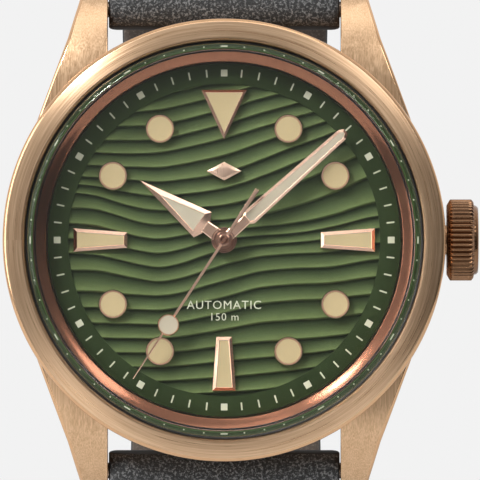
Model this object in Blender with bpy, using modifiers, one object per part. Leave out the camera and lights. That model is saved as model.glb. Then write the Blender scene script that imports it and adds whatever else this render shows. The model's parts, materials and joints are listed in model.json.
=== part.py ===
"""An automatic dive watch on a two-piece strap, standing on edge with twelve o'clock up.

Every piece is laid out in the watch's own directions and then stood up by one empty:
u runs to three o'clock, v to twelve o'clock and w out of the dial towards the reader.
In the world that is X = u, Y = -w and Z = v. The origin is the middle of the back window.
"""

import math

import bmesh
import bpy
from mathutils import Matrix, Vector

MM = 0.001
OUTER_FIT = 0.05 * MM  # between round pieces that seat in each other
LOOSE_FIT = 0.1 * MM  # between pieces that turn or slide past each other
LAID_FIT = 0.03 * MM  # under a piece that is laid on a flat one
THROUGH = 2.0 * MM  # how far a cutter runs past the wall that it cuts

# Movement: its plan is drawn in parts of the main plate's radius, so that it grows with the plate
PLATE_R = 12.8 * MM
UNIT = PLATE_R / 128
PLATE = (5.0 * MM, 5.9 * MM)
BRIDGE = (2.75 * MM, 3.5 * MM)
UPPER = (1.85 * MM, 2.6 * MM)
WHEELS = (3.8 * MM, 4.1 * MM)
FOURTH_WHEEL = (4.35 * MM, 4.6 * MM)
RING_INNER_R = PLATE_R + LOOSE_FIT
RING_R = RING_INNER_R + 1.8 * MM
RING = (3.3 * MM, 5.95 * MM)
BRIDGE_R = 123 * UNIT
AUTO_BRIDGE_R = 42 * UNIT
AUTO_BRIDGE_ARM = ((-86 * UNIT, 54 * UNIT), (-100 * UNIT, 14 * UNIT))
COCK_R = 12 * UNIT
COCK_FOOT_R = 103 * UNIT
ROTOR_R = 119 * UNIT
ROTOR_RIM_R = 106 * UNIT
ROTOR = (1.25 * MM, 1.6 * MM)
ROTOR_RIM_TOP = 2.5 * MM
ROTOR_HUB_R = 24 * UNIT
BEARING_R = 9 * UNIT
TOOTH_DEPTH = 0.8 * UNIT  # each way from the pitch circle
CROWN_WHEEL_TEETH = 20
RATCHET_TEETH = 27
BARREL_TEETH = 48
TRAIN_TEETH = 30
ESCAPE_TEETH = 15
CROWN_WHEEL_R = CROWN_WHEEL_TEETH * UNIT
RATCHET_R = RATCHET_TEETH * UNIT
CROWN_WHEEL_AT = (72 * UNIT, 23 * UNIT)
RATCHET_BEARING = math.atan2(0.8, -0.6)  # from the crown wheel's middle to the ratchet's
RATCHET_AT = (
    CROWN_WHEEL_AT[0] + (CROWN_WHEEL_R + RATCHET_R) * math.cos(RATCHET_BEARING),
    CROWN_WHEEL_AT[1] + (CROWN_WHEEL_R + RATCHET_R) * math.sin(RATCHET_BEARING),
)
WINDING_HOLE_R = 4 * UNIT
BARREL_HOLE_R = 5 * UNIT
BARREL_R = 44 * UNIT
BARREL = (3.65 * MM, 4.85 * MM)
THIRD_AT = (-46 * UNIT, 34 * UNIT)
THIRD_R = 29 * UNIT
THIRD_WINDOW_R = 7 * UNIT
THIRD_WINDOW_CIRCLE_R = 16 * UNIT
FOURTH_R = 26 * UNIT
ESCAPE_AT = (-74 * UNIT, -12 * UNIT)
ESCAPE_R = 19 * UNIT
ESCAPE_TOOTH = 0.14  # half a tooth's depth, as a share of the wheel's radius
ESCAPE_HOLE_R = 2.5 * UNIT
FORK_AT = (-72 * UNIT, -44 * UNIT)
BALANCE_AT = (-42 * UNIT, -66 * UNIT)
BALANCE_R = 36 * UNIT
BALANCE_WINDOW_R = 29 * UNIT
BALANCE = (2.8 * MM, 3.2 * MM)
STAFF = (2.66 * MM, 4.7 * MM)
STAFF_R = 2.5 * UNIT
HAIRSPRING = (3.4 * MM, 3.55 * MM)
HAIRSPRING_R = (5 * UNIT, 19 * UNIT)
HAIRSPRING_TURNS = 3
HAIRSPRING_HALF = 0.06 * MM

# Dial, inner ring, crystal and bezel, each built outwards and upwards from the one before
DIAL_R = RING_R + 0.45 * MM
DIAL_BACK = PLATE[1] + 0.2 * MM
DIAL_TOP = DIAL_BACK + 0.4 * MM
DIAL_HOLE_R = 1.2 * MM
REHAUT_FOOT_R = DIAL_R + 0.15 * MM
REHAUT_HEAD_R = REHAUT_FOOT_R + 0.9 * MM
REHAUT_R = REHAUT_HEAD_R + 0.7 * MM
REHAUT_TOP = DIAL_TOP + 2.1 * MM
CRYSTAL_R = REHAUT_R - 0.05 * MM
CRYSTAL_WALL_TOP = REHAUT_TOP + 2.1 * MM
CRYSTAL_SHOULDER = 0.35 * MM
CRYSTAL_DOME = 1.0 * MM
CRYSTAL_THICKNESS = 1.6 * MM
CRYSTAL_SKIRT = 0.9 * MM
SEAL_WALL = 0.25 * MM
BEZEL_BORE_R = CRYSTAL_R + SEAL_WALL
BEZEL_R = BEZEL_BORE_R + 1.9 * MM
BEZEL_EDGE = 0.35 * MM

# Case and its back
CASE_R = BEZEL_R - 0.1 * MM
CASE_TOP = DIAL_TOP + 0.75 * MM
BEZEL_TOP = CASE_TOP + 2.25 * MM
CASE_EDGE_CHAMFER = 0.3 * MM
CASE_BELLY_R = CASE_R - 1.6 * MM
CASE_BELLY_W = 3.4 * MM
BACK_FLANGE_W = 1.75 * MM
CASE_FLOOR = BACK_FLANGE_W + LOOSE_FIT
BACK_R = CASE_R - 2.3 * MM
BACK_NECK_R = BACK_R - 1.0 * MM
BACK_NECK_W = 2.95 * MM
BACK_NECK_WALL = 1.2 * MM
BACK_WINDOW_R = BACK_NECK_R - 2.9 * MM
BACK_WINDOW_THICKNESS = 1.0 * MM
BACK_LIP = 0.45 * MM
BACK_LIP_THICKNESS = 0.3 * MM
GASKET_GROOVE = (BACK_NECK_R + 0.25 * MM, BACK_R - 0.15 * MM)
GASKET_DEPTH = 0.5 * MM

# Lugs and the strap that they carry
LUG_GAP = 20.1 * MM
LUG_REACH = CASE_R + 2.95 * MM
LUG_TIP = 2.05 * MM
LUG_KNEE = 2.45 * MM
LUG_ROOT = 3.35 * MM
LUG_FLANK = math.radians(32)
LUG_SPREAD = math.radians(35.6)
LUG_PROUD = 0.35 * MM  # how far the horn stands out of the drum at its root
BAR_V = LUG_REACH - 1.95 * MM
BAR_W = 2.7 * MM
BAR_R = 0.7 * MM
BAR_SEAT = 1.0 * MM
STRAP_END_R = 1.75 * MM
STRAP_WALL_GAP = 0.35 * MM
STRAP_WIDTH = LUG_GAP - 2 * LOOSE_FIT
STRAP_TAPER = 1.9 * MM
STRAP_THICKNESS = 3.0 * MM
STRAP_THINNING = (0.4 * MM, 0.8 * MM)  # towards the buckle, towards the tail
STRAP_SWELL = 9.0 * MM  # the length over which the strap thickens to its end at the lugs
STRAP_BREAK = 0.3 * MM
STRAP_DROP = math.radians(30)
SHORT_CUTS = (0.0, 25.0 * MM, 50.0 * MM, 75.0 * MM)
SHORT_BEND_R = 24.0 * MM
SHORT_BEND_LENGTH = 50.0 * MM
LONG_CUTS = (0.0, 28.0 * MM, 57.0 * MM, 86.0 * MM, 115.0 * MM)
LONG_BEND_R = 50.0 * MM
LONG_BEND_LENGTH = 95.0 * MM
STRAP_HOLE_R = 0.95 * MM
STRAP_HOLE_FIRST = 60.5 * MM
STRAP_HOLE_PITCH = 6.6 * MM
STRAP_HOLES = 7
BUCKLE_BAR_R = 0.6 * MM
BUCKLE_BAR_END = 0.6 * MM  # how far the bar stops inside the frame's flanks
BUCKLE_WIRE = 1.9 * MM
BUCKLE_REACH = 11.0 * MM
BUCKLE_HALF_THICK = 0.9 * MM
BUCKLE_CORNER_R = (1.0 * MM, 2.0 * MM)
TANG_HALF_WIDTH = 0.9 * MM
TANG_EYE_R = 1.25 * MM
TANG_THICKNESS = 0.7 * MM
TANG_SLOT_HALF = 1.4 * MM
TANG_SLOT_DEPTH = 3.2 * MM
KEEPER_LENGTH = 5.0 * MM
KEEPER_WALL = 1.0 * MM
KEEPER_AIR = 0.5 * MM
KEEPER_ROOM = 2.6 * MM
FIXED_KEEPER_S = 69.0 * MM
SLIDING_KEEPER_S = 60.5 * MM

# Markers, hands and the time that they show
MARKER_HEIGHT = 0.45 * MM
DOT_R = 1.22 * MM
DOT_CIRCLE_R = DIAL_R - 4.15 * MM
BATON_OUTER_R = DIAL_R - 2.3 * MM
BATON_INNER_R = BATON_OUTER_R - 4.5 * MM
BATON_INNER_HALF = 0.59 * MM
BATON_OUTER_HALF = 0.94 * MM
TRIANGLE_BASE_R = DIAL_R - 2.35 * MM
TRIANGLE_TIP_R = TRIANGLE_BASE_R - 4.08 * MM
TRIANGLE_HALF = 1.9 * MM
EMBLEM_R = 5.9 * MM
EMBLEM_HALF = (1.5 * MM, 0.8 * MM)
HOUR_ANGLE = math.radians(305.3)
MINUTE_ANGLE = math.radians(48.2)
SECONDS_ANGLE = math.radians(213.3)
HOUR_LEVEL = (DIAL_TOP + 0.6 * MM, DIAL_TOP + 0.85 * MM)
MINUTE_LEVEL = (DIAL_TOP + 1.1 * MM, DIAL_TOP + 1.35 * MM)
SECONDS_LEVEL = (DIAL_TOP + 1.6 * MM, DIAL_TOP + 1.8 * MM)
HOUR_LENGTH = DIAL_R - 6.31 * MM
HOUR_HUB_R = 1.35 * MM
HOUR_BLADE = ((0.58 * MM, 1.75 * MM), (1.32 * MM, 2.25 * MM))  # half width and reach of each corner
MINUTE_LENGTH = DIAL_R - 1.18 * MM
MINUTE_HUB_R = 1.1 * MM
MINUTE_BLADE = ((0.45 * MM, 2.4 * MM), (0.68 * MM, 2.9 * MM))
MINUTE_TIP = (0.48 * MM, 0.37 * MM)  # half width, and how far short of the point it is met
SECONDS_LENGTH = DIAL_R - 0.95 * MM
SECONDS_TAIL = 5.17 * MM
SECONDS_HALF = (0.14 * MM, 0.05 * MM)  # at the tail and at the point
SECONDS_HUB_R = 0.65 * MM
SECONDS_DISC_AT = 8.67 * MM
SECONDS_DISC_R = 0.96 * MM
SECONDS_ARBOR_R = 0.22 * MM
MINUTE_PIPE_R = (0.34 * MM, 0.6 * MM)
HOUR_PIPE_R = (0.72 * MM, 1.0 * MM)

# Crown and its stem
STEM_W = 4.45 * MM
STEM_R = 0.45 * MM
STEM_END = 50 * UNIT
CLUTCH = (62 * UNIT, 79 * UNIT)
CLUTCH_R = 0.8 * MM
CLUTCH_WINDOW = (CLUTCH[0] - 0.8 * MM, CLUTCH[1] + 1.4 * MM)
TUBE_R = 1.3 * MM
TUBE_BORE_R = 0.6 * MM
TUBE = (RING_R + 0.2 * MM, CASE_R + 0.5 * MM)
CROWN = (CASE_R + 0.25 * MM, CASE_R + 2.5 * MM, CASE_R + 2.95 * MM)
CROWN_R = 3.5 * MM
CROWN_CAP_R = 2.95 * MM
CROWN_POCKET_R = 1.5 * MM
CROWN_POCKET = 0.8 * MM
LEVER_AT = (94 * UNIT, -26 * UNIT)
LEVER_HALF = 0.5 * MM
LEVER_REACH = (1.2 * MM, 2.3 * MM)

# Colour, roughness and metallic of each finish
BRONZE = ((0.66, 0.40, 0.24), 0.32, 1.0)
ROSE = ((0.75, 0.45, 0.32), 0.15, 1.0)
STEEL = ((0.62, 0.62, 0.63), 0.28, 1.0)
GILT = ((0.80, 0.62, 0.32), 0.3, 1.0)
GREEN = ((0.05, 0.13, 0.06), 0.35, 0.3)
CREAM = ((0.80, 0.68, 0.42), 0.6, 0.0)
CLEAR = ((0.9, 0.95, 0.95), 0.02, 0.0)
BLACK = ((0.02, 0.02, 0.02), 0.6, 0.0)
CLOTH = ((0.09, 0.09, 0.095), 0.9, 0.0)

ALONG_U = Matrix.Rotation(math.pi / 2, 4, "Y")
BIG_ROUND = 64
MID_ROUND = 32
SMALL_ROUND = 16
TINY_ROUND = 12
ROUNDING = [math.radians(angle) for angle in (27, 55, 80)]
WELD = 0.01 * MM
SHARP = math.radians(30)


def clear_scene():
    for old in list(bpy.data.objects):
        bpy.data.objects.remove(old)


def add_collection(name):
    collection = bpy.data.collections.new(name)
    bpy.context.scene.collection.children.link(collection)
    return collection


def add_empty(name, place):
    empty = bpy.data.objects.new(name, None)
    WATCH.objects.link(empty)
    empty.matrix_local = place
    return empty


def finish(name, look):
    colour, roughness, metallic = look
    material = bpy.data.materials.new(name + "_finish")
    material.use_nodes = True
    shader = material.node_tree.nodes["Principled BSDF"]
    shader.inputs["Base Color"].default_value = (*colour, 1.0)
    shader.inputs["Roughness"].default_value = roughness
    shader.inputs["Metallic"].default_value = metallic
    return material


def add_part(name, data, look, place=Matrix.Identity(4)):
    """Links a node in the watch's directions, or a cutter when it has no look."""
    part = bpy.data.objects.new(name, data)
    (WATCH if look else CUTTERS).objects.link(part)
    part.parent = AXES
    part.matrix_local = place
    if look:
        data.materials.append(finish(name, look))
    else:
        part.hide_render = True
        part.display_type = "WIRE"
    return part


def shift(u=0.0, v=0.0, w=0.0, turn=0.0):
    return Matrix.Translation((u, v, w)) @ Matrix.Rotation(turn, 4, "Z")


def smooth(data):
    data.shade_smooth()
    data.set_sharp_from_angle(angle=SHARP)


def turned(name, profile, look, steps=BIG_ROUND, ring=True, place=Matrix.Identity(4)):
    """A profile of (radius, height) points, outer side first and downwards, turned about its axis."""
    shape = bmesh.new()
    points = [shape.verts.new((r, 0.0, w)) for r, w in profile]
    for start, end in zip(points, points[1:]):
        shape.edges.new((start, end))
    if ring:
        shape.edges.new((points[-1], points[0]))
    data = bpy.data.meshes.new(name)
    shape.to_mesh(data)
    shape.free()
    part = add_part(name, data, look, place)
    screw = part.modifiers.new("turn", "SCREW")
    screw.steps = steps
    screw.render_steps = steps
    screw.use_merge_vertices = True
    screw.merge_threshold = WELD
    screw.use_smooth_shade = True
    return part


def pipe(name, radii, levels, look, steps=SMALL_ROUND, place=Matrix.Identity(4)):
    """A plain ring or, with an inner radius of zero, a plain disc or rod."""
    inner, outer = radii
    low, high = levels
    if inner:
        profile = [(inner, high), (outer, high), (outer, low), (inner, low)]
    else:
        profile = [(0.0, high), (outer, high), (outer, low), (0.0, low)]
    return turned(name, profile, look, steps, bool(inner), place)


def arc(centre, radius, start, end, steps):
    """Points on an arc, angles in radians, both ends included."""
    angles = [start + (end - start) * k / steps for k in range(steps + 1)]
    return [(centre[0] + radius * math.cos(a), centre[1] + radius * math.sin(a)) for a in angles]


def circle(radius, steps, centre=(0.0, 0.0)):
    return arc(centre, radius, 0.0, 2 * math.pi, steps)[:-1]


def outline(name, loops, levels, look, place=Matrix.Identity(4)):
    """Flat loops, the first of them outside and the rest holes, given a thickness between two levels."""
    low, high = levels
    curve = bpy.data.curves.new(name + "_outline", "CURVE")
    curve.dimensions = "2D"
    curve.fill_mode = "BOTH"
    curve.extrude = (high - low) / 2
    for loop in loops:
        spline = curve.splines.new("POLY")
        spline.points.add(len(loop) - 1)
        spline.use_cyclic_u = True
        for point, (x, y) in zip(spline.points, loop):
            point.co = (x, y, 0.0, 1.0)
    guide = bpy.data.objects.new(name + "_guide", curve)
    CUTTERS.objects.link(guide)
    bpy.context.view_layer.update()
    seen = guide.evaluated_get(bpy.context.evaluated_depsgraph_get())
    data = bpy.data.meshes.new_from_object(seen)
    data.name = name
    bpy.data.objects.remove(guide)
    shape = bmesh.new()
    shape.from_mesh(data)
    bmesh.ops.remove_doubles(shape, verts=shape.verts, dist=WELD / 10)
    bmesh.ops.translate(shape, verts=shape.verts, vec=(0.0, 0.0, (low + high) / 2))
    bmesh.ops.recalc_face_normals(shape, faces=shape.faces)
    shape.to_mesh(data)
    shape.free()
    smooth(data)
    return add_part(name, data, look, place)


def block(name, low, high, place=Matrix.Identity(4)):
    """A plain box for cutting, between its lowest and highest corners."""
    shape = bmesh.new()
    bmesh.ops.create_cube(shape, size=1.0)
    size = Vector(high) - Vector(low)
    middle = (Vector(high) + Vector(low)) / 2
    matrix = Matrix.Translation(middle) @ Matrix.Diagonal((*size, 1.0))
    bmesh.ops.transform(shape, matrix=matrix, verts=shape.verts)
    data = bpy.data.meshes.new(name)
    shape.to_mesh(data)
    shape.free()
    return add_part(name, data, None, place)


def combine(part, other, operation="DIFFERENCE"):
    step = part.modifiers.new(other.name, "BOOLEAN")
    step.operation = operation
    step.solver = "EXACT"
    step.object = other
    return part


def gear(teeth, pitch_r, depth, phase):
    """A toothed outline with one tooth centred on the phase angle. Teeth are slim, for running clearance."""
    pitch = 2 * math.pi / teeth
    corners = ((-0.22, -1.0), (-0.1, 1.0), (0.1, 1.0), (0.22, -1.0))
    points = []
    for k in range(teeth):
        for share, side in corners:
            angle = phase + (k + share) * pitch
            radius = pitch_r + side * depth
            points.append((radius * math.cos(angle), radius * math.sin(angle)))
    return points


def add_case():
    inner_floor = BACK_NECK_R + OUTER_FIT
    groove_in, groove_out = GASKET_GROOVE
    profile = [
        (REHAUT_R + LOOSE_FIT, CASE_TOP),
        (CASE_R - CASE_EDGE_CHAMFER, CASE_TOP),
        (CASE_R, CASE_TOP - CASE_EDGE_CHAMFER),
        (CASE_R, CASE_BELLY_W),
        (CASE_BELLY_R, CASE_FLOOR),
        (groove_out, CASE_FLOOR),
        (groove_out, CASE_FLOOR + GASKET_DEPTH),
        (groove_in, CASE_FLOOR + GASKET_DEPTH),
        (groove_in, CASE_FLOOR),
        (inner_floor, CASE_FLOOR),
        (inner_floor, BACK_NECK_W + 2 * LOOSE_FIT),
        (RING_R + OUTER_FIT, BACK_NECK_W + 2 * LOOSE_FIT),
        (RING_R + OUTER_FIT, RING[1] + LOOSE_FIT),
        (DIAL_R + OUTER_FIT, RING[1] + LOOSE_FIT),
        (DIAL_R + OUTER_FIT, DIAL_TOP + LAID_FIT),
        (REHAUT_R + LOOSE_FIT, DIAL_TOP + LAID_FIT),
    ]
    case = turned("case_middle", profile, BRONZE)
    lug = add_lug_shape()
    combine(case, lug, "UNION")
    half_gap = LUG_GAP / 2
    for way in (1, -1):
        near = way * (BAR_V - STRAP_END_R - STRAP_WALL_GAP)
        far = way * (LUG_REACH + THROUGH)
        slot = block(
            f"strap_slot_{way}",
            (-half_gap, min(near, far), -THROUGH),
            (half_gap, max(near, far), BAR_W + STRAP_END_R + STRAP_BREAK + STRAP_WALL_GAP),
        )
        combine(case, slot)
        bar_reach = half_gap + BAR_SEAT + LOOSE_FIT
        holes = pipe(
            f"bar_seat_{way}",
            (0.0, BAR_R + LOOSE_FIT),
            (-bar_reach, bar_reach),
            None,
            place=shift(0, way * BAR_V, BAR_W) @ ALONG_U,
        )
        combine(case, holes)
    tube_hole = pipe(
        "tube_hole", (0.0, TUBE_R + OUTER_FIT), (TUBE[0] - THROUGH, TUBE[1] + THROUGH), None,
        place=shift(0, 0, STEM_W) @ ALONG_U,
    )
    combine(case, tube_hole)
    return case


def add_lug_shape():
    """One horn, where its plan and its side view meet, mirrored to the other three."""
    half_gap = LUG_GAP / 2
    wall_r = REHAUT_R + 2 * OUTER_FIT + STRAP_WALL_GAP
    root_v = math.sqrt(wall_r**2 - half_gap**2) + 0.2 * MM
    plan = [
        (half_gap, root_v),
        (wall_r * math.cos(LUG_FLANK) + 0.3 * MM, wall_r * math.sin(LUG_FLANK)),
        (CASE_R * math.cos(LUG_FLANK), CASE_R * math.sin(LUG_FLANK)),
        ((CASE_R + LUG_PROUD) * math.cos(LUG_SPREAD), (CASE_R + LUG_PROUD) * math.sin(LUG_SPREAD)),
        (half_gap + LUG_ROOT, LUG_REACH - 4.5 * MM),
        (half_gap + LUG_KNEE, LUG_REACH - 1.65 * MM),
        (half_gap + LUG_TIP, LUG_REACH),
        (half_gap, LUG_REACH),
    ]
    lug = outline("lug_plan", [plan], (-THROUGH, CASE_TOP + THROUGH), None)
    inner_v = LUG_REACH - 13.85 * MM
    side = [
        (inner_v, CASE_TOP - 0.25 * MM),
        (LUG_REACH - 7.85 * MM, CASE_TOP - 0.3 * MM),
        (LUG_REACH - 4.4 * MM, BAR_W + 3.4 * MM),
        (LUG_REACH - 2.0 * MM, BAR_W + 1.9 * MM),
        (LUG_REACH - 0.4 * MM, BAR_W + 0.1 * MM),
        (LUG_REACH, BAR_W - 1.2 * MM),
        (LUG_REACH - 0.3 * MM, BAR_W - 2.1 * MM),
        (LUG_REACH - 1.2 * MM, BAR_W - 2.2 * MM),
        (LUG_REACH - 4.0 * MM, BAR_W - 1.4 * MM),
        (LUG_REACH - 7.35 * MM, CASE_FLOOR + 0.35 * MM),
        (inner_v, CASE_FLOOR + 0.9 * MM),
    ]
    side_to_plan = Matrix(((0, 0, 1, 0), (1, 0, 0, 0), (0, 1, 0, 0), (0, 0, 0, 1)))
    cutter = outline("lug_side", [side], (half_gap - THROUGH, CASE_R), None, place=side_to_plan)
    combine(lug, cutter, "INTERSECT")
    mirror = lug.modifiers.new("four_horns", "MIRROR")
    mirror.use_axis = (True, True, False)
    mirror.merge_threshold = WELD
    return lug


def add_closures():
    """The bezel, the domed front window, the inner ring round the dial and their seals."""
    bezel_foot = CASE_TOP + LAID_FIT
    turned(
        "bezel",
        [
            (BEZEL_BORE_R + BEZEL_EDGE / 2, BEZEL_TOP),
            (BEZEL_R - BEZEL_EDGE, BEZEL_TOP - BEZEL_EDGE),
            (BEZEL_R, BEZEL_TOP - 2 * BEZEL_EDGE),
            (BEZEL_R, bezel_foot),
            (BEZEL_BORE_R, bezel_foot),
            (BEZEL_BORE_R, BEZEL_TOP - BEZEL_EDGE / 2),
        ],
        BRONZE,
    )
    foot = REHAUT_TOP + LAID_FIT
    bore = CRYSTAL_R - CRYSTAL_SKIRT
    top = CRYSTAL_WALL_TOP + CRYSTAL_DOME
    turned(
        "crystal",
        [
            (0.0, top),
            (0.5 * CRYSTAL_R, top - 0.2 * CRYSTAL_DOME),
            (0.86 * CRYSTAL_R, CRYSTAL_WALL_TOP + 0.3 * CRYSTAL_DOME),
            (CRYSTAL_R, CRYSTAL_WALL_TOP - CRYSTAL_SHOULDER),
            (CRYSTAL_R, foot),
            (bore, foot),
            (bore, CRYSTAL_WALL_TOP - CRYSTAL_THICKNESS),
            (0.5 * CRYSTAL_R, top - CRYSTAL_THICKNESS - CRYSTAL_DOME / 4),
            (0.0, top - CRYSTAL_THICKNESS),
        ],
        CLEAR,
        ring=False,
    )
    seal = (CRYSTAL_R + LAID_FIT, BEZEL_BORE_R - LAID_FIT)
    pipe("crystal_gasket", seal, (foot, BEZEL_TOP - 2 * BEZEL_EDGE), BLACK, BIG_ROUND)
    turned(
        "rehaut_ring",
        [
            (REHAUT_HEAD_R, REHAUT_TOP),
            (REHAUT_R, REHAUT_TOP),
            (REHAUT_R, DIAL_TOP + 2 * LAID_FIT),
            (REHAUT_FOOT_R, DIAL_TOP + 2 * LAID_FIT),
        ],
        ROSE,
    )
    back_profile = [
        (BACK_WINDOW_R - BACK_LIP, BACK_WINDOW_THICKNESS + 2 * LAID_FIT),
        (BACK_WINDOW_R - BACK_LIP, BACK_WINDOW_THICKNESS + BACK_LIP_THICKNESS),
        (BACK_NECK_R - BACK_NECK_WALL, BACK_NECK_W),
        (BACK_NECK_R, BACK_NECK_W),
        (BACK_NECK_R, BACK_FLANGE_W),
        (BACK_R, BACK_FLANGE_W),
        (BACK_R, BACK_FLANGE_W / 2),
        (BACK_NECK_R, 0.0),
        (BACK_WINDOW_R + OUTER_FIT, 0.0),
        (BACK_WINDOW_R + OUTER_FIT, BACK_WINDOW_THICKNESS + 2 * LAID_FIT),
    ]
    turned("case_back_ring", back_profile, STEEL)
    pipe("back_window", (0.0, BACK_WINDOW_R), (0.0, BACK_WINDOW_THICKNESS), CLEAR, BIG_ROUND)
    groove_in, groove_out = GASKET_GROOVE
    seal = (groove_in + OUTER_FIT, groove_out - OUTER_FIT)
    seal_top = CASE_FLOOR + GASKET_DEPTH - OUTER_FIT
    pipe("case_back_gasket", seal, (BACK_FLANGE_W + LAID_FIT, seal_top), BLACK, BIG_ROUND)


def add_dial():
    pipe("dial", (DIAL_HOLE_R, DIAL_R), (DIAL_BACK, DIAL_TOP), GREEN, BIG_ROUND)
    levels = (DIAL_TOP + LAID_FIT, DIAL_TOP + MARKER_HEIGHT)
    triangle = [(-TRIANGLE_HALF, TRIANGLE_BASE_R), (0.0, TRIANGLE_TIP_R), (TRIANGLE_HALF, TRIANGLE_BASE_R)]
    outline("marker_12", [triangle], levels, CREAM)
    baton = [
        (-BATON_INNER_HALF, BATON_INNER_R),
        (BATON_INNER_HALF, BATON_INNER_R),
        (BATON_OUTER_HALF, BATON_OUTER_R),
        (-BATON_OUTER_HALF, BATON_OUTER_R),
    ]
    for hour in (3, 6, 9):
        outline(f"marker_{hour}", [baton], levels, CREAM, shift(turn=-hour * math.pi / 6))
    for hour in (1, 2, 4, 5, 7, 8, 10, 11):
        angle = hour * math.pi / 6
        spot = shift(DOT_CIRCLE_R * math.sin(angle), DOT_CIRCLE_R * math.cos(angle))
        pipe(f"marker_{hour}", (0.0, DOT_R), levels, CREAM, SMALL_ROUND, spot)
    across, along = EMBLEM_HALF
    lozenge = [(-across, 0.0), (0.0, -along), (across, 0.0), (0.0, along)]
    outline("emblem", [lozenge], levels, ROSE, shift(v=EMBLEM_R))


def mirrored(points):
    """An outline from its right-hand half, which runs from the foot up to the tip."""
    return points + [(-x, y) for x, y in reversed(points) if x > 0]


def hub_arc(radius, blade):
    """A hub's right-hand side, from its lowest point up to where the blade leaves it."""
    half_width = blade[0][0]
    return arc((0, 0), radius, -math.pi / 2, math.acos(half_width / radius), 8)


def add_hand(name, half, level, bore, pipe_r, pipe_foot, angle):
    """A hand's outline, with the pipe or arbor that carries it down through the dial."""
    place = shift(turn=-angle)
    loops = [mirrored(half)]
    if bore:
        loops.append(circle(bore, SMALL_ROUND))
    hand = outline(name, loops, level, ROSE, place)
    stalk = pipe(name + "_pipe", pipe_r, (pipe_foot, sum(level) / 2), None, place=place)
    combine(hand, stalk, "UNION")


def add_hands():
    hour = hub_arc(HOUR_HUB_R, HOUR_BLADE) + [*HOUR_BLADE, (0.0, HOUR_LENGTH)]
    foot = PLATE[1] + LOOSE_FIT
    add_hand("hour_hand", hour, HOUR_LEVEL, HOUR_PIPE_R[0], HOUR_PIPE_R, foot, HOUR_ANGLE)
    tip = (MINUTE_TIP[0], MINUTE_LENGTH - MINUTE_TIP[1])
    minute = hub_arc(MINUTE_HUB_R, MINUTE_BLADE) + [*MINUTE_BLADE, tip, (0.0, MINUTE_LENGTH)]
    add_hand(
        "minute_hand", minute, MINUTE_LEVEL, MINUTE_PIPE_R[0], MINUTE_PIPE_R, PLATE[0], MINUTE_ANGLE
    )
    half, point = SECONDS_HALF
    swing = math.acos(half / SECONDS_DISC_R)
    side = math.acos(half / SECONDS_HUB_R)
    needle = [(half, -SECONDS_TAIL)] + arc((0, 0), SECONDS_HUB_R, -side, side, 6)
    needle += arc((0.0, SECONDS_DISC_AT), SECONDS_DISC_R, -swing, swing, 10) + [(point, SECONDS_LENGTH)]
    arbor = (0.0, SECONDS_ARBOR_R)
    add_hand("seconds_hand", needle, SECONDS_LEVEL, 0.0, arbor, FOURTH_WHEEL[0], SECONDS_ANGLE)


def sector(radius, start, end, steps, corners=()):
    """An arc between two angles in degrees, closed by its chord or by further corners."""
    return arc((0, 0), radius, math.radians(start), math.radians(end), steps) + list(corners)


def add_plates():
    slot_v = CLUTCH_R + 3 * LOOSE_FIT
    left, right = CLUTCH_WINDOW
    window = [(left, -slot_v), (right, -slot_v), (right, slot_v), (left, slot_v)]
    centre_hole = circle(MINUTE_PIPE_R[1] + LOOSE_FIT, SMALL_ROUND)
    outline("main_plate", [circle(PLATE_R, BIG_ROUND), centre_hole, window], PLATE, STEEL)
    bores = [
        circle(BARREL_HOLE_R, TINY_ROUND, RATCHET_AT),
        circle(WINDING_HOLE_R, TINY_ROUND, THIRD_AT),
    ]
    outline("train_bridge", [sector(BRIDGE_R, -4, 184, MID_ROUND)] + bores, BRIDGE, STEEL)
    outline("auto_bridge", [sector(AUTO_BRIDGE_R, -172, 125, 24, AUTO_BRIDGE_ARM)], UPPER, STEEL)
    tip = arc(BALANCE_AT, COCK_R, math.radians(135), math.radians(-15), 8)
    outline("balance_cock", [tip + sector(COCK_FOOT_R, -82, -106, 6)], UPPER, STEEL)
    ring = pipe("movement_ring", (RING_INNER_R, RING_R), RING, STEEL, BIG_ROUND)
    stem_hole = pipe(
        "stem_hole", (0.0, STEM_R + 2 * LOOSE_FIT), (RING_INNER_R - THROUGH, RING_R + THROUGH), None,
        place=shift(0, 0, STEM_W) @ ALONG_U,
    )
    combine(ring, stem_hole)
    bearing = (ROTOR[0] - OUTER_FIT, UPPER[0] - LAID_FIT)
    pipe("rotor_bearing", (0.0, BEARING_R), bearing, STEEL)


def add_winding_wheels():
    """The crown wheel and the ratchet wheel that it turns, over the mainspring barrel."""
    hole = circle(WINDING_HOLE_R, TINY_ROUND)
    teeth = gear(CROWN_WHEEL_TEETH, CROWN_WHEEL_R, TOOTH_DEPTH, RATCHET_BEARING)
    outline("crown_wheel", [teeth, hole], UPPER, GILT, shift(*CROWN_WHEEL_AT))
    meeting_gap = RATCHET_BEARING + math.pi + math.pi / RATCHET_TEETH
    teeth = gear(RATCHET_TEETH, RATCHET_R, TOOTH_DEPTH, meeting_gap)
    outline("ratchet_wheel", [teeth, hole], UPPER, GILT, shift(*RATCHET_AT))
    drum = gear(BARREL_TEETH, BARREL_R, TOOTH_DEPTH, 0.0)
    outline("barrel", [drum, circle(BARREL_HOLE_R, TINY_ROUND)], BARREL, GILT, shift(*RATCHET_AT))


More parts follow.
